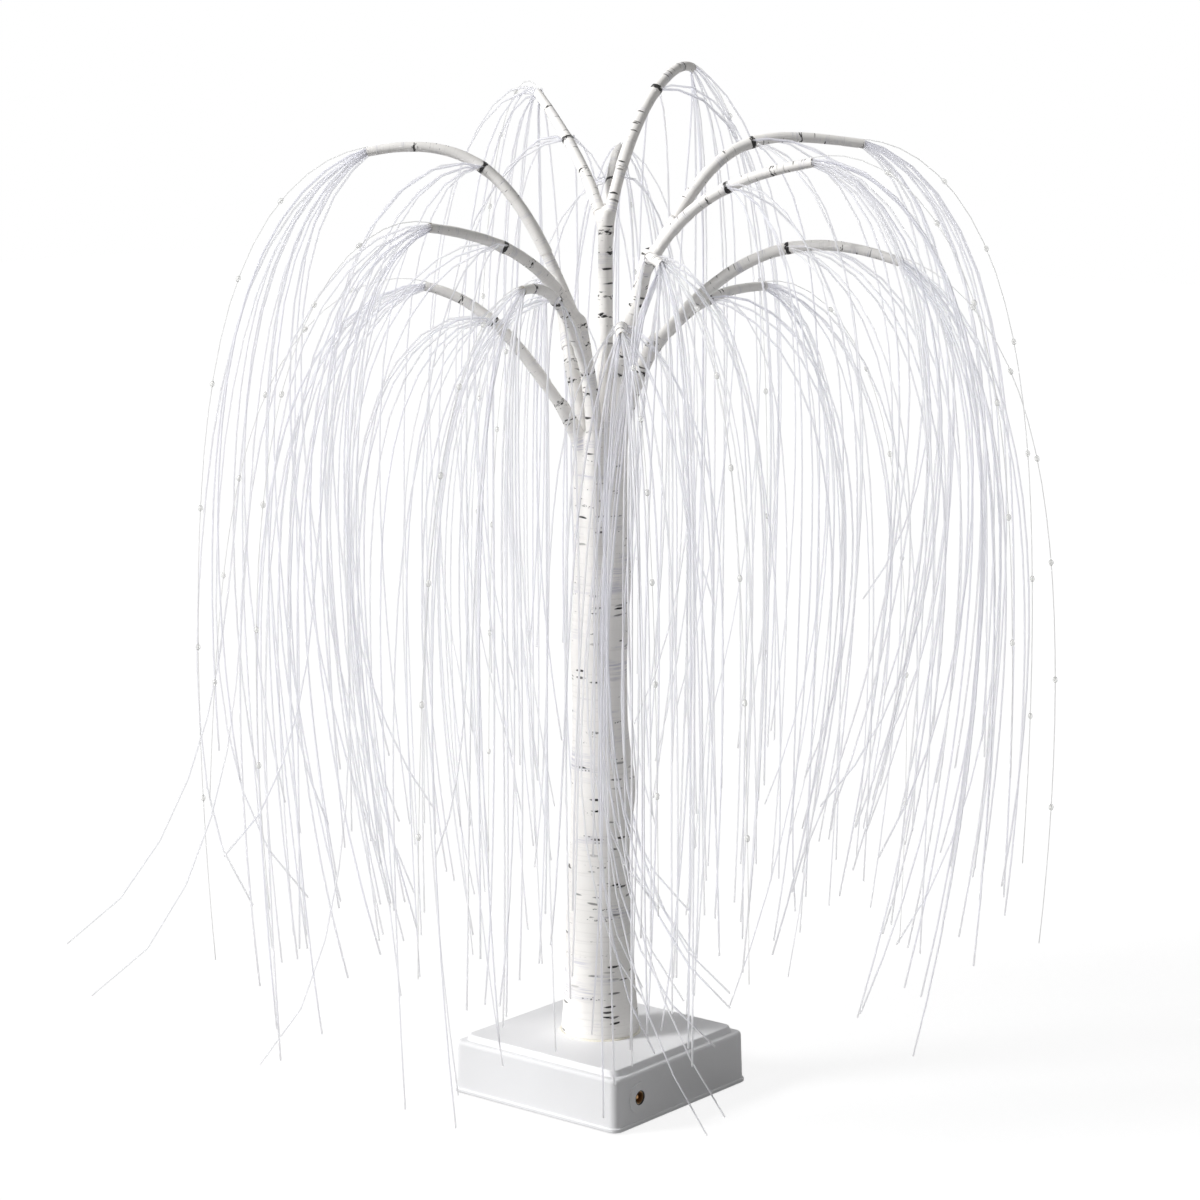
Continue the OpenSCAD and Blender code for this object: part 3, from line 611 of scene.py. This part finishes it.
# %% Where each point of the skin would be on a straight stem
FORK_SCAR = 7.0
SCAR_WIDTH = 5.0
SCAR_DEPTH = 0.62
TRUNK_REACH = 60
TOP_OVERLAP = 8
NO_STEM = 9.0
STEM_PRINT = 700
co = np.empty(3 * len(skin.vertices))
skin.vertices.foreach_get("co", co)
co = co.reshape(-1, 3) / MM
straight = co.copy()
on_trunk = co[:, 2] < TRUNK_TOP - TOP_OVERLAP
nearest = np.where(on_trunk, np.hypot(co[:, 0], co[:, 1]) / TRUNK_REACH, NO_STEM)
fork = np.full(len(co), np.inf)
for n, (points, ways, radii, frames) in enumerate(stems):
    axis = np.array(points)
    length = np.concatenate([[0], np.cumsum(np.linalg.norm(np.diff(axis, axis=0), axis=1))])
    away = np.linalg.norm(co[:, None, :] - axis[None, :, :], axis=2)
    station = away.argmin(axis=1)
    close = away[np.arange(len(co)), station]
    ratio = close / np.array(radii)[station]
    mine = ratio < nearest
    rel = co - axis[station]
    u = np.array([f[0] for f in frames])[station]
    v = np.array([f[1] for f in frames])[station]
    way = np.array(ways)[station]
    along = length[station] + (rel * way).sum(1) + STEM_PRINT * (n + 1)
    place = np.stack([(rel * u).sum(1), (rel * v).sum(1), along], 1)
    straight[mine] = place[mine]
    nearest[mine] = ratio[mine]
    if n >= len(LIMBS):
        fork = np.minimum(fork, np.linalg.norm(co - axis[0], axis=1))
layer = skin.attributes.new("bark", "FLOAT_VECTOR", "POINT")
layer.data.foreach_set("vector", (MM * straight).ravel().astype(np.float32))
layer = skin.attributes.new("scar", "FLOAT", "POINT")
scar = SCAR_DEPTH * np.clip(1 - np.abs(fork - FORK_SCAR) / SCAR_WIDTH, 0, 1)
layer.data.foreach_set("value", scar.astype(np.float32))
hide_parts("trunk", *["limb_%d" % (k + 1) for k in range(len(LIMBS))])
print("bark follows", len(stems) + 1, "axes")

# %% [markdown]
# Where the trunk stands on the base, a thin uneven bead of glue shows round its foot. It is a small
# ring of points spun about the axis, and each point is then moved out to the trunk's own outline at its
# azimuth.

# %% Glue at the foot
GLUE_R = 0.9
GLUE_SWELL = 0.55
GLUE_LUMPS = 4
GLUE_STEPS = 90
bm = bmesh.new()
ring = bmesh.ops.create_circle(bm, segments=8, radius=MM * GLUE_R)["verts"]
bmesh.ops.rotate(bm, verts=ring, cent=(0, 0, 0), matrix=Matrix.Rotation(math.pi / 2, 3, "X"))
bmesh.ops.translate(bm, verts=ring, vec=MM * Vector((TRUNK_FOOT_D / 2, 0, BASE_H)))
bmesh.ops.spin(bm, geom=bm.verts[:] + bm.edges[:], cent=(0, 0, 0), axis=(0, 0, 1), dvec=(0, 0, 0),
               angle=2 * math.pi, steps=GLUE_STEPS, use_merge=True, use_duplicate=False)
for v in bm.verts:
    az = math.degrees(math.atan2(v.co.y, v.co.x))
    out = v.co.xy.normalized()
    swell = GLUE_SWELL * noise.noise(v.co / MM / GLUE_LUMPS)
    v.co.xy += MM * (trunk_r(az, BASE_H) - TRUNK_FOOT_D / 2 + swell) * out
bmesh.ops.recalc_face_normals(bm, faces=bm.faces)
piece("foot_glue", bm, [FOOT_GLUE])
print("glue bead of", GLUE_STEPS, "steps")

# %% [markdown]
# ## Branch sleeves
# Past its fork each branch is a taped wire in its own sleeve of bark. The sleeve is a rolled grid with
# a slight swelling at the knot, where side strands are bound in. Its far end is cut square, so the end
# face is inset and pushed in a little, and shows the glue that holds the strands.

# %% Branches
BRANCH_STATIONS = 72
BRANCH_SIDES = 16
SLEEVE_OVER = 1.035
SLEEVE_TAPER = 0.16
SLEEVE_LAP = 0.3
SLEEVE_LUMP = 0.12
SLEEVE_LUMPS = 9
KNOT_SWELL = 0.45
KNOT_HALF = 0.05
SCAR_HALF = 3.6
END_WALL = 0.0005
END_DEPTH = 0.0012
PRINT_FINE = 1.5
SLEEVE_PRINT = 900
FIRST_PRINT = 40


def bell(x, width):
    return max(0.0, 1 - abs(x) / width)


for i, row in enumerate(BRANCHES):
    c = branch_curve(i)
    start = (row.bound - SLEEVE_LAP) / RINGS
    knot = (KNOT_AT + 0.5) / RINGS
    side = sideways(row.azimuth)
    own_print = SLEEVE_PRINT * (i + FIRST_PRINT)
    steps = [start + (1 - start) * k / BRANCH_STATIONS for k in range(BRANCH_STATIONS + 1)]
    points = [on_curve(c, t) for t in steps]
    far = np.concatenate([[0], np.cumsum([(b - a).length for a, b in zip(points, points[1:])])])
    frames = [across(curve_way(c, t), side) for t in steps]
    marks = [
        (knot, 1.0),
        (0.80 + 0.03 * (i % 4), 0.75 * (i % 3 != 1)),
        (0.40 + 0.02 * (i % 5), 0.7 * (i % 2))]

    def sleeve_rule(k, angle):
        t = steps[k]
        u, v = frames[k]
        spot = Vector((math.cos(angle), math.sin(angle), far[k] / SLEEVE_LUMPS + 31 * i))
        over = SLEEVE_OVER - SLEEVE_TAPER * k / BRANCH_STATIONS
        lump = SLEEVE_LUMP * noise.noise(spot)
        r = over * branch_r(t) + KNOT_SWELL * bell(t - knot, KNOT_HALF) + lump
        x = r * math.cos(angle)
        y = r * math.sin(angle)
        return points[k] + x * u + y * v, PRINT_FINE * MM * Vector((x, y, far[k] + own_print))

    bm = bmesh.new()
    faces = rolled(bm, BRANCH_STATIONS, BRANCH_SIDES, sleeve_rule, "bark")
    scar_layer = bm.verts.layers.float.new("scar")
    place = bm.verts.layers.float_vector["bark"]
    for v in bm.verts:
        s = v[place].z / MM / PRINT_FINE - own_print
        t = start + (1 - start) * np.interp(s, far, range(BRANCH_STATIONS + 1)) / BRANCH_STATIONS
        v[scar_layer] = max(size * bell((t - at) * far[-1] / (1 - start), SCAR_HALF) for at, size in marks)
    tip = MM * points[-1]
    ends = [f for f in faces if len(f.verts) == BRANCH_SIDES]
    end = min(ends, key=lambda f: (f.calc_center_median() - tip).length)
    bmesh.ops.inset_region(bm, faces=[end], thickness=END_WALL, use_even_offset=True)
    bmesh.ops.translate(bm, verts=end.verts, vec=-END_DEPTH * curve_way(c, 1))
    end.material_index = 1
    for e in end.edges:
        for f in e.link_faces:
            if f is not end:
                f.material_index = 1
    sleeve = piece("branch_bark_%02d" % (i + 1), bm, [BARK, GLUE])
    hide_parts("branch_%02d" % (i + 1))
print(len(BRANCHES), "branch sleeves")

# %% [markdown]
# ## The strands
# A strand leaves its branch at an angle and bends under its own weight until it hangs. That is one
# rule: the angle from straight down fades from its first value to its last over a bending length, the
# azimuth drifts a little and the end curls. The solid model has a few points of each strand by this
# rule, and the tube here runs smoothly through them. Four sides and a few dozen faces are enough for
# something a little over 1 mm thick.

# %% Strand rule
STRAND_STATIONS = 16
STRAND_SIDES = 4
STRAND_D = 1.25
STRAND_ROOT = 2.5
HINGES = 6
HINGE_CROWD = 1.6
STATION_CROWD = 1.3
STRAND_TAPER = 0.12
FLOOR_CLEAR = 14.0
ARCH_SPARE = 0.25


class Strand:
    """One hanging strand: its start, azimuth, first and last angle, length, bend, drift and curl."""

    def __init__(self, start, azimuth, first, last, length, bend, drift, curl, late=2):
        self.start = start
        self.azimuth = azimuth
        self.first = first
        self.last = last
        self.length = min(length, start.z - FLOOR_CLEAR + ARCH_SPARE * BEND_L)
        self.bend = bend
        self.drift = drift
        self.curl = curl
        self.late = late

    def way(self, s):
        f = s / self.length
        fade = math.exp(-s / self.bend)
        th = math.radians(self.last + (self.first - self.last) * fade + self.curl * f ** self.late)
        return polar(self.azimuth + self.drift * f, math.sin(th), -math.cos(th))

    def lay(self, hinges=HINGES):
        """Works out the few points of the solid model, closer together where the strand bends."""
        self.far = [self.length * (j / hinges) ** HINGE_CROWD for j in range(hinges + 1)]
        self.hinge = [self.start]
        for a, b in zip(self.far, self.far[1:]):
            self.hinge.append(self.hinge[-1] + (b - a) * self.way((a + b) / 2))
        return self

    def at(self, s):
        """A point on the smooth line through the hinges."""
        j = min(len(self.far) - 2, int(np.searchsorted(self.far, s, "right")) - 1)
        step = self.far[j + 1] - self.far[j]
        p, q = self.hinge[j], self.hinge[j + 1]
        handles = [p, p + self.way(self.far[j]) * step / 3, q - self.way(self.far[j + 1]) * step / 3, q]
        return on_curve(handles, (s - self.far[j]) / step)


def places(length, stations):
    """Distances along a strand, closer together where it bends."""
    return [length * (j / stations) ** STATION_CROWD for j in range(stations + 1)]


def add_strand(bm, strand, tint):
    s = [0.0] + places(strand.length, STRAND_STATIONS)
    points = [strand.at(x) for x in s]
    points[0] = points[0] - STRAND_ROOT * strand.way(0)
    frames = [across(strand.way(x), sideways(strand.azimuth)) for x in s]

    def rule(j, angle):
        f = s[j] / strand.length
        r = STRAND_D / 2 * (1 - STRAND_TAPER * f)
        return points[j] + r * spoke(frames[j], angle), (MM * s[j], tint, f)

    rolled(bm, STRAND_STATIONS + 1, STRAND_SIDES, rule, "strand")


print("a strand bends over about", BEND_L, "mm")

# %% [markdown]
# The strands of a tip fan out from its end face, in the spiral order of a sunflower, and those of a
# knot come out on both sides of the branch. Golden ratio steps give each its own length, bend and curl,
# so that no two look alike and the crown is the same each time. Strands that would hang in a
# neighbour's way are left out.

# %% Strands of tips and knots
GOLDEN_ANGLE = 137.508
TIP_STRANDS = 10
SIDE_STRANDS = 6
SEAT = 0.74
WIRE_SEAT = 0.88
TIP_TURN = 240
TIP_SPREAD = 26
TIP_FAN = 12
TIP_DROOP = 14
SIDE_FIRST = 19
SIDE_STEP = 14
SIDE_LIFT = 54
SIDE_DROP = 12
SIDE_DRIFT = 10
DRIFT = 40
DRIFT_EACH = 10
CURL = 26
CURL_FROM = 70
CURL_OVER = 50
TIP_OUT = [(0, 6), (2, 6), (12, 7), (13, 5)]
SIDE_OUT = [(1, 2), (3, 1), (6, 5), (7, 3), (7, 5), (8, 3), (9, 0), (9, 2), (10, 1), (10, 5), (11, 1)]


def frac(x):
    return x - math.floor(x)


def curl_of(i):
    """Ends of short branches curl less, so that they stay clear of the base."""
    return CURL * min(1.0, max(0.0, (BRANCHES[i].reach - CURL_FROM) / CURL_OVER))


def tip_strand(i, k):
    row = BRANCHES[i]
    turn = math.radians(GOLDEN_ANGLE * k + TIP_TURN * i)
    rho = math.sqrt((k + 0.5) / (TIP_STRANDS + 1))
    a = rho * math.cos(turn) if k else 0.0
    b = rho * math.sin(turn) if k else 1.0
    c = branch_curve(i)
    u, v = across(curve_way(c, 1), sideways(row.azimuth))
    start = c[3] + (SEAT if k else WIRE_SEAT) * TIP_D / 2 * (a * u + b * v)
    return Strand(
        start, row.azimuth + TIP_SPREAD * a, 90 - TIP_DROOP + row.slope + TIP_FAN * b, 3 * b - 1,
        STRAND_L * row.factor * (0.84 + 0.32 * frac(0.618 * k + 0.46 * i)),
        BEND_L * (0.73 + 0.16 * b + 0.1 * frac(0.73 * k + 0.56 * i)),
        DRIFT * a + DRIFT_EACH * (2 * frac(0.29 * k + 0.34 * i) - 1),
        curl_of(i) * (0.3 * b - 0.3 - 0.4 * frac(0.53 * k + 0.81 * i)))


def side_strand(i, k):
    row = BRANCHES[i]
    sign = -1 if k % 2 else 1
    rank = k // 2
    t = (KNOT_AT + 0.35 + 0.2 * rank) / RINGS
    c = branch_curve(i)
    way = curve_way(c, t)
    u, v = across(way, sideways(row.azimuth))
    start = on_curve(c, t) + branch_r(t) * (SEAT * sign * u + (0.4 - 0.4 * rank) * v)
    return Strand(
        start, row.azimuth + sign * (SIDE_FIRST + SIDE_STEP * rank),
        SIDE_LIFT + 0.45 * math.degrees(math.acos(-way.z)) - SIDE_DROP * rank, -1,
        STRAND_L * row.factor * (0.80 + 0.3 * frac(0.618 * k + 0.44 * i)),
        BEND_L * (0.29 + 0.0034 * row.reach + 0.1 * frac(0.59 * k + 0.05 * i)),
        sign * SIDE_DRIFT * (1 + 0.5 * rank) + DRIFT_EACH * (2 * frac(0.29 * k + 0.33 * i) - 1),
        -curl_of(i) * (0.3 + 0.5 * frac(0.53 * k + 0.78 * i)))


print("strand formulas for", len(BRANCHES), "tips and knots")

# %% [markdown]
# On the real lamp some strands have been bent in the box and hang less tidily. A few loose ones are
# added to each branch, with seeded draws, and most of them curl inwards at their ends. The strays are
# those that stand out in the photograph, such as the two that flick far out on the left. A wisp falls
# from the front branch, hugs the trunk and sweeps to the right over the edge of the base.

# %% Tufts
SEED = 700
LOOSE = 3
LOOSE_TURN = (-12, 12)
LOOSE_BEND = (0.82, 1.04)
LOOSE_DRIFT = (-50, 50)
LOOSE_LENGTH = (0.84, 1.0)
LOOSE_CURL = (-34, 12)
LOOSE_LATE = 3
# branch, turn from it, first angle, last angle, length, bend, drift, curl, how late the curl comes
STRAYS = [
    (2, 10, 70, 2, 500, 66, 0, 58, 4), (2, 14, 62, 2, 520, 68, 0, 62, 5),
    (2, 10, 66, 2, 465, 84, 0, -50, 5), (2, 0, 72, 3, 470, 84, 0, -40, 6),
    (1, 0, 70, 0, 475, 50, 0, 60, 6), (1, -10, 72, 1, 365, 60, 0, 55, 5),
    (11, -40, 55, 0, 440, 45, 100, 36, 2), (11, -34, 55, 0, 435, 40, 100, 36, 2),
    (11, -30, 60, 0, 380, 40, 95, 55, 3)]
WISP_BRANCH = 10
WISP_STRANDS = 10
WISP_AZIMUTH = 180
WISP_TURN = (-22, 22)
WISP_FIRST = (10, 34)
WISP_LAST = (5, 9)
WISP_LENGTH = (370, 468)
WISP_BEND = 40.0
WISP_CURL = (-64, -36)
WISP_LATE = 4
count = 0


def wisp_strand(k, draw):
    """One strand of the wisp: it starts like a tip strand, leans left and ends to the right."""
    strand = tip_strand(WISP_BRANCH, k + 0.25)
    strand.azimuth = WISP_AZIMUTH + draw.uniform(*WISP_TURN)
    strand.first = draw.uniform(*WISP_FIRST)
    strand.last = draw.uniform(*WISP_LAST)
    strand.length = draw.uniform(*WISP_LENGTH)
    strand.bend = WISP_BEND
    strand.drift = 0.0
    strand.curl = draw.uniform(*WISP_CURL)
    strand.late = WISP_LATE
    return strand


for i in range(len(BRANCHES)):
    draw = np.random.default_rng(SEED + i)
    hanging = [tip_strand(i, k) for k in range(1, TIP_STRANDS + 1) if (i, k) not in TIP_OUT]
    hanging += [side_strand(i, k) for k in range(SIDE_STRANDS) if (i, k) not in SIDE_OUT]
    for k in range(LOOSE):
        loose = tip_strand(i, 3 * k - 0.5) if k else side_strand(i, int(draw.integers(0, 4)))
        loose.azimuth += draw.uniform(*LOOSE_TURN)
        loose.bend *= draw.uniform(*LOOSE_BEND)
        loose.drift += draw.uniform(*LOOSE_DRIFT)
        loose.length *= draw.uniform(*LOOSE_LENGTH)
        inward = draw.uniform(*LOOSE_CURL)
        loose.curl += inward if inward > 0 else inward * curl_of(i) / CURL
        loose.late = LOOSE_LATE
        hanging.append(loose)
    for n, (branch, turn, *shape) in enumerate(STRAYS):
        if branch == i:
            hanging.append(Strand(tip_strand(i, n + 0.5).start, BRANCHES[i].azimuth + turn, *shape))
    if i == WISP_BRANCH:
        hanging += [wisp_strand(k, draw) for k in range(1, WISP_STRANDS + 1)]
    bm = bmesh.new()
    for strand in hanging:
        add_strand(bm, strand.lay(), draw.uniform(0, 1))
    tuft = piece("willow_strands_%02d" % (i + 1), bm, [STRAND], crease=100)
    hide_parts("strands_%02d" % (i + 1))
    count += len(hanging)
print(count, "strands hang in the crown")

# %% [markdown]
# ## Light strings
# One thin wire hangs from the tip of each branch, with drops of resin along it. The wire follows the
# same rule as a strand, so it lies where the solid model has it. A drop is a ball drawn out along its
# wire.

# %% Light strings
WIRE_D = 0.55
WIRE_LIFT = 4
WIRE_BEND = 0.84
WIRE_ROOT = 3.0
WIRE_HINGES = 8
WIRE_STATIONS = 24
WIRE_START = 1.0
FIRST_BEAD = 2
BEAD_D = 2.8
BEAD_LONG = 1.35
STRINGS = [(0, 1, 2, 3), (4, 5, 6, 7), (8, 9, 10, 11), (12, 13)]
beads = 0

for n, members in enumerate(STRINGS):
    bm = bmesh.new()
    for i in members:
        root = curve_way(branch_curve(i), 1)
        wire = tip_strand(i, 0)
        wire.start = wire.start + WIRE_ROOT * root
        wire.first += WIRE_LIFT
        wire.bend = WIRE_BEND * BEND_L
        wire.lay(WIRE_HINGES)
        s = places(wire.length, WIRE_STATIONS)
        points = [wire.start - (WIRE_ROOT + WIRE_START) * root] + [wire.at(x) for x in s]
        ways = [root] + [wire.way(x) for x in s]
        frames = [across(way, sideways(wire.azimuth)) for way in ways]

        def wire_rule(j, angle):
            return points[j] + WIRE_D / 2 * spoke(frames[j], angle), UNMARKED

        for f in rolled(bm, len(points) - 1, STRAND_SIDES, wire_rule, "strand"):
            f.material_index = 1
        for far in wire.far[FIRST_BEAD:-1]:
            turned = wire.way(far).to_track_quat("Z", "Y").to_matrix().to_4x4()
            drop = Matrix.Translation(MM * wire.at(far)) @ turned @ Matrix.Diagonal((1, 1, BEAD_LONG, 1))
            bmesh.ops.create_uvsphere(bm, u_segments=12, v_segments=8, radius=MM * BEAD_D / 2, matrix=drop)
            beads += 1
    string = piece("light_string_%d" % (n + 1), bm, [BEAD, WIRE], crease=100)
    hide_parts("led_string_%d" % (n + 1))
print(beads, "beads on", len(STRINGS), "strings")

# %% [markdown]
# ## The base and what is in it
# The base and the pieces in it have the right shape already, so they stay and only get finishes. The
# finishes come in families: moulded plastic has a fine grain in its gloss, plated steel has drawn
# lines, and rubber is dull and speckled. One function makes each family, and the pieces differ in
# colour and in how rough they are.


# %% Finishes of the base
def moulded(name, colour, rough, grain=0.05, spread=0.03):
    f = Finish(name, Specular_IOR_Level=0.45)
    place = f.object_place()
    cloud = f.noise(place, (26, 26, 26), 3.0)
    fine = f.noise(place, (1500, 1500, 1500))
    dark = tuple(c * (1 - 2 * spread) for c in colour)
    f.give(Base_Color=f.mix(cloud, colour, dark), Roughness=rough - 0.05 + 0.1 * cloud + 0.06 * fine)
    f.bump(fine, grain, 0.0002)
    return f.material


def plated(name, colour, rough):
    f = Finish(name, Metallic=1.0)
    place = f.object_place()
    drawn = f.noise(place, (60, 60, 1800))
    dull = f.noise(place, (120, 120, 120), 3.0)
    dark = tuple(0.72 * c for c in colour)
    f.give(Base_Color=f.mix(dull, colour, dark), Roughness=rough + 0.12 * drawn + 0.1 * dull)
    f.bump(drawn, 0.12, 0.0001)
    return f.material


def rubber(name, colour):
    f = Finish(name, Specular_IOR_Level=0.3)
    place = f.object_place()
    speck = f.noise(place, (1100, 1100, 1100), 3.0)
    light = tuple(c + 0.05 for c in colour)
    f.give(Base_Color=f.mix(speck.ramp(0.45, 0.8), colour, light), Roughness=0.72 + 0.2 * speck)
    f.bump(speck, 0.3, 0.0002)
    return f.material


def board_resist(name):
    f = Finish(name, Coat_Weight=0.3)
    place = f.object_place()
    tracks = f.node("TexBrick", {"offset": 0.5}, {
        "Vector": place, "Scale": 150.0, "Mortar Size": 0.03, "Color1": (0.02, 0.16, 0.07),
        "Color2": (0.03, 0.20, 0.09), "Mortar": (0.10, 0.36, 0.17)})
    f.give(Base_Color=tracks, Roughness=0.30 + 0.1 * f.noise(place, (300, 300, 300)))
    return f.material


def cell_sleeve(name):
    f = Finish(name, Coat_Weight=0.4)
    place = f.object_place()
    scuff = f.noise(place, (40, 900, 900), 3.0)
    tone = f.mix(scuff.ramp(0.4, 0.9), (0.10, 0.12, 0.16), (0.24, 0.27, 0.32))
    f.give(Base_Color=tone, Roughness=0.28 + 0.2 * scuff)
    return f.material


FINISHES = {
    "white_plastic": moulded("white_plastic", (0.82, 0.82, 0.83), 0.42, spread=0.012),
    "foot_rubber": rubber("foot_rubber", (0.05, 0.05, 0.05)),
    "steel": plated("steel", (0.62, 0.62, 0.64), 0.28),
    "spring_steel": plated("spring_steel", (0.74, 0.74, 0.76), 0.22),
    "cell_wrap": cell_sleeve("cell_wrap"),
    "board_green": board_resist("board_green"),
    "switch_grey": moulded("switch_grey", (0.33, 0.33, 0.34), 0.5),
    "black_plastic": moulded("black_plastic", (0.028, 0.028, 0.03), 0.45, grain=0.1),
    "brass": plated("brass", (0.62, 0.40, 0.20), 0.30),
    "lead_red": rubber("lead_red", (0.36, 0.04, 0.04)),
    "lead_white": rubber("lead_white", (0.72, 0.72, 0.69)),
}
dressed = 0
for row in frame["record"]["subparts"]:
    if row["material_slot"] in FINISHES:
        shell = frame["nodes"][row["node"]]
        shell.data.materials.clear()
        shell.data.materials.append(FINISHES[row["material_slot"]])
        dressed += 1
print(dressed, "pieces of the base have finishes")

# %% [markdown]
# ## Floor and light
# The photograph is a studio picture on white. The key light comes from the left, almost square to the
# view and not high: the left wall of the base is bright, the right wall is in shade and half of the
# trunk is too. A sun lamp with a wide disc gives that evenly. The floor adds just enough of its own
# light, only where it is looked at, to read as white, and still takes the shadow of the lamp. It is
# clear from its back and open under the base, so that a view from below shows the switch and the
# battery door in some light. The disc of the sun lamp is not seen through the strands, where it would
# only make grain.


# %% Floor
def white_to_camera(web):
    """1 for what the camera, a mirror or glass sees, and 0 for light that falls on things."""
    path = web.node("LightPath", {}, {}, "Is Camera Ray")
    return path.top(path.out("Is Glossy Ray")).top(path.out("Is Transmission Ray"))


FLOOR_HALF = 6.0
OPENING_HALF = 0.056
FLOOR_GLOW = 0.86
FLOOR_GREY = (0.36, 0.36, 0.36)
FLOOR_SHADE = (0.20, 0.20, 0.20)
bm = bmesh.new()
bmesh.ops.create_grid(bm, x_segments=1, y_segments=1, size=FLOOR_HALF)
middle = bm.faces[:]
rim = FLOOR_HALF - OPENING_HALF
bmesh.ops.inset_region(bm, faces=middle, thickness=rim, use_boundary=True, use_even_offset=True)
bmesh.ops.delete(bm, geom=middle, context="FACES_ONLY")
mesh = bpy.data.meshes.new("floor")
bm.to_mesh(mesh)
bm.free()
floor = bpy.data.objects.new("floor", mesh)
bpy.context.scene.collection.objects.link(floor)
paper = bpy.data.materials.new("studio_paper")
paper.use_nodes = True
paper.node_tree.nodes.clear()
web = Web(paper.node_tree)
plain = web.node("BsdfDiffuse", {}, {"Color": FLOOR_GREY})
shaded = web.node("BsdfDiffuse", {}, {"Color": FLOOR_SHADE})
glow = web.node("Emission", {}, {"Strength": FLOOR_GLOW})
seen = web.node("AddShader", {}, {0: shaded, 1: glow})
choose = web.node("MixShader", {}, {0: white_to_camera(web), 1: plain, 2: seen})
behind = web.node("NewGeometry", {}, {}, "Backfacing")
clear = web.node("BsdfTransparent", {}, {})
sided = web.node("MixShader", {}, {0: behind, 1: choose, 2: clear})
web.node("OutputMaterial", {}, {"Surface": sided})
mesh.materials.append(paper)
print("floor is", 2 * FLOOR_HALF, "m wide")

# %% Light
KEY_STRENGTH = 3.4
KEY_DISC = math.radians(16)
KEY_RISE = math.radians(32)
KEY_TURN = math.radians(15)
FILL = 0.25
key_azimuth = VIEW_AZIMUTH + math.pi + KEY_TURN
toward_key = Vector((
    math.cos(key_azimuth) * math.cos(KEY_RISE),
    math.sin(key_azimuth) * math.cos(KEY_RISE),
    math.sin(KEY_RISE)))
key = bpy.data.objects.new("key", bpy.data.lights.new("key", "SUN"))
key.data.energy = KEY_STRENGTH
key.data.angle = KEY_DISC
key.visible_transmission = False
key.rotation_euler = toward_key.to_track_quat("Z", "Y").to_euler()
bpy.context.scene.collection.objects.link(key)

world = bpy.data.worlds.new("studio")
world.use_nodes = True
bpy.context.scene.world = world
world.node_tree.nodes.clear()
web = Web(world.node_tree)
fill = web.node("Background", {}, {"Color": (1, 1, 1), "Strength": FILL})
white = web.node("Background", {}, {"Color": (1, 1, 1), "Strength": 1.0})
choose = web.node("MixShader", {}, {0: white_to_camera(web), 1: fill, 2: white})
web.node("OutputWorld", {}, {"Surface": choose})
bpy.context.scene.view_settings.view_transform = "Standard"
print("key light from the left, fill", FILL)

# %% [markdown]
# ## A last update
# The view layer is updated once more, so that every piece of the dressed lamp stands where it was put in
# the frame of the solid model.

# %% Update
bpy.context.view_layer.update()
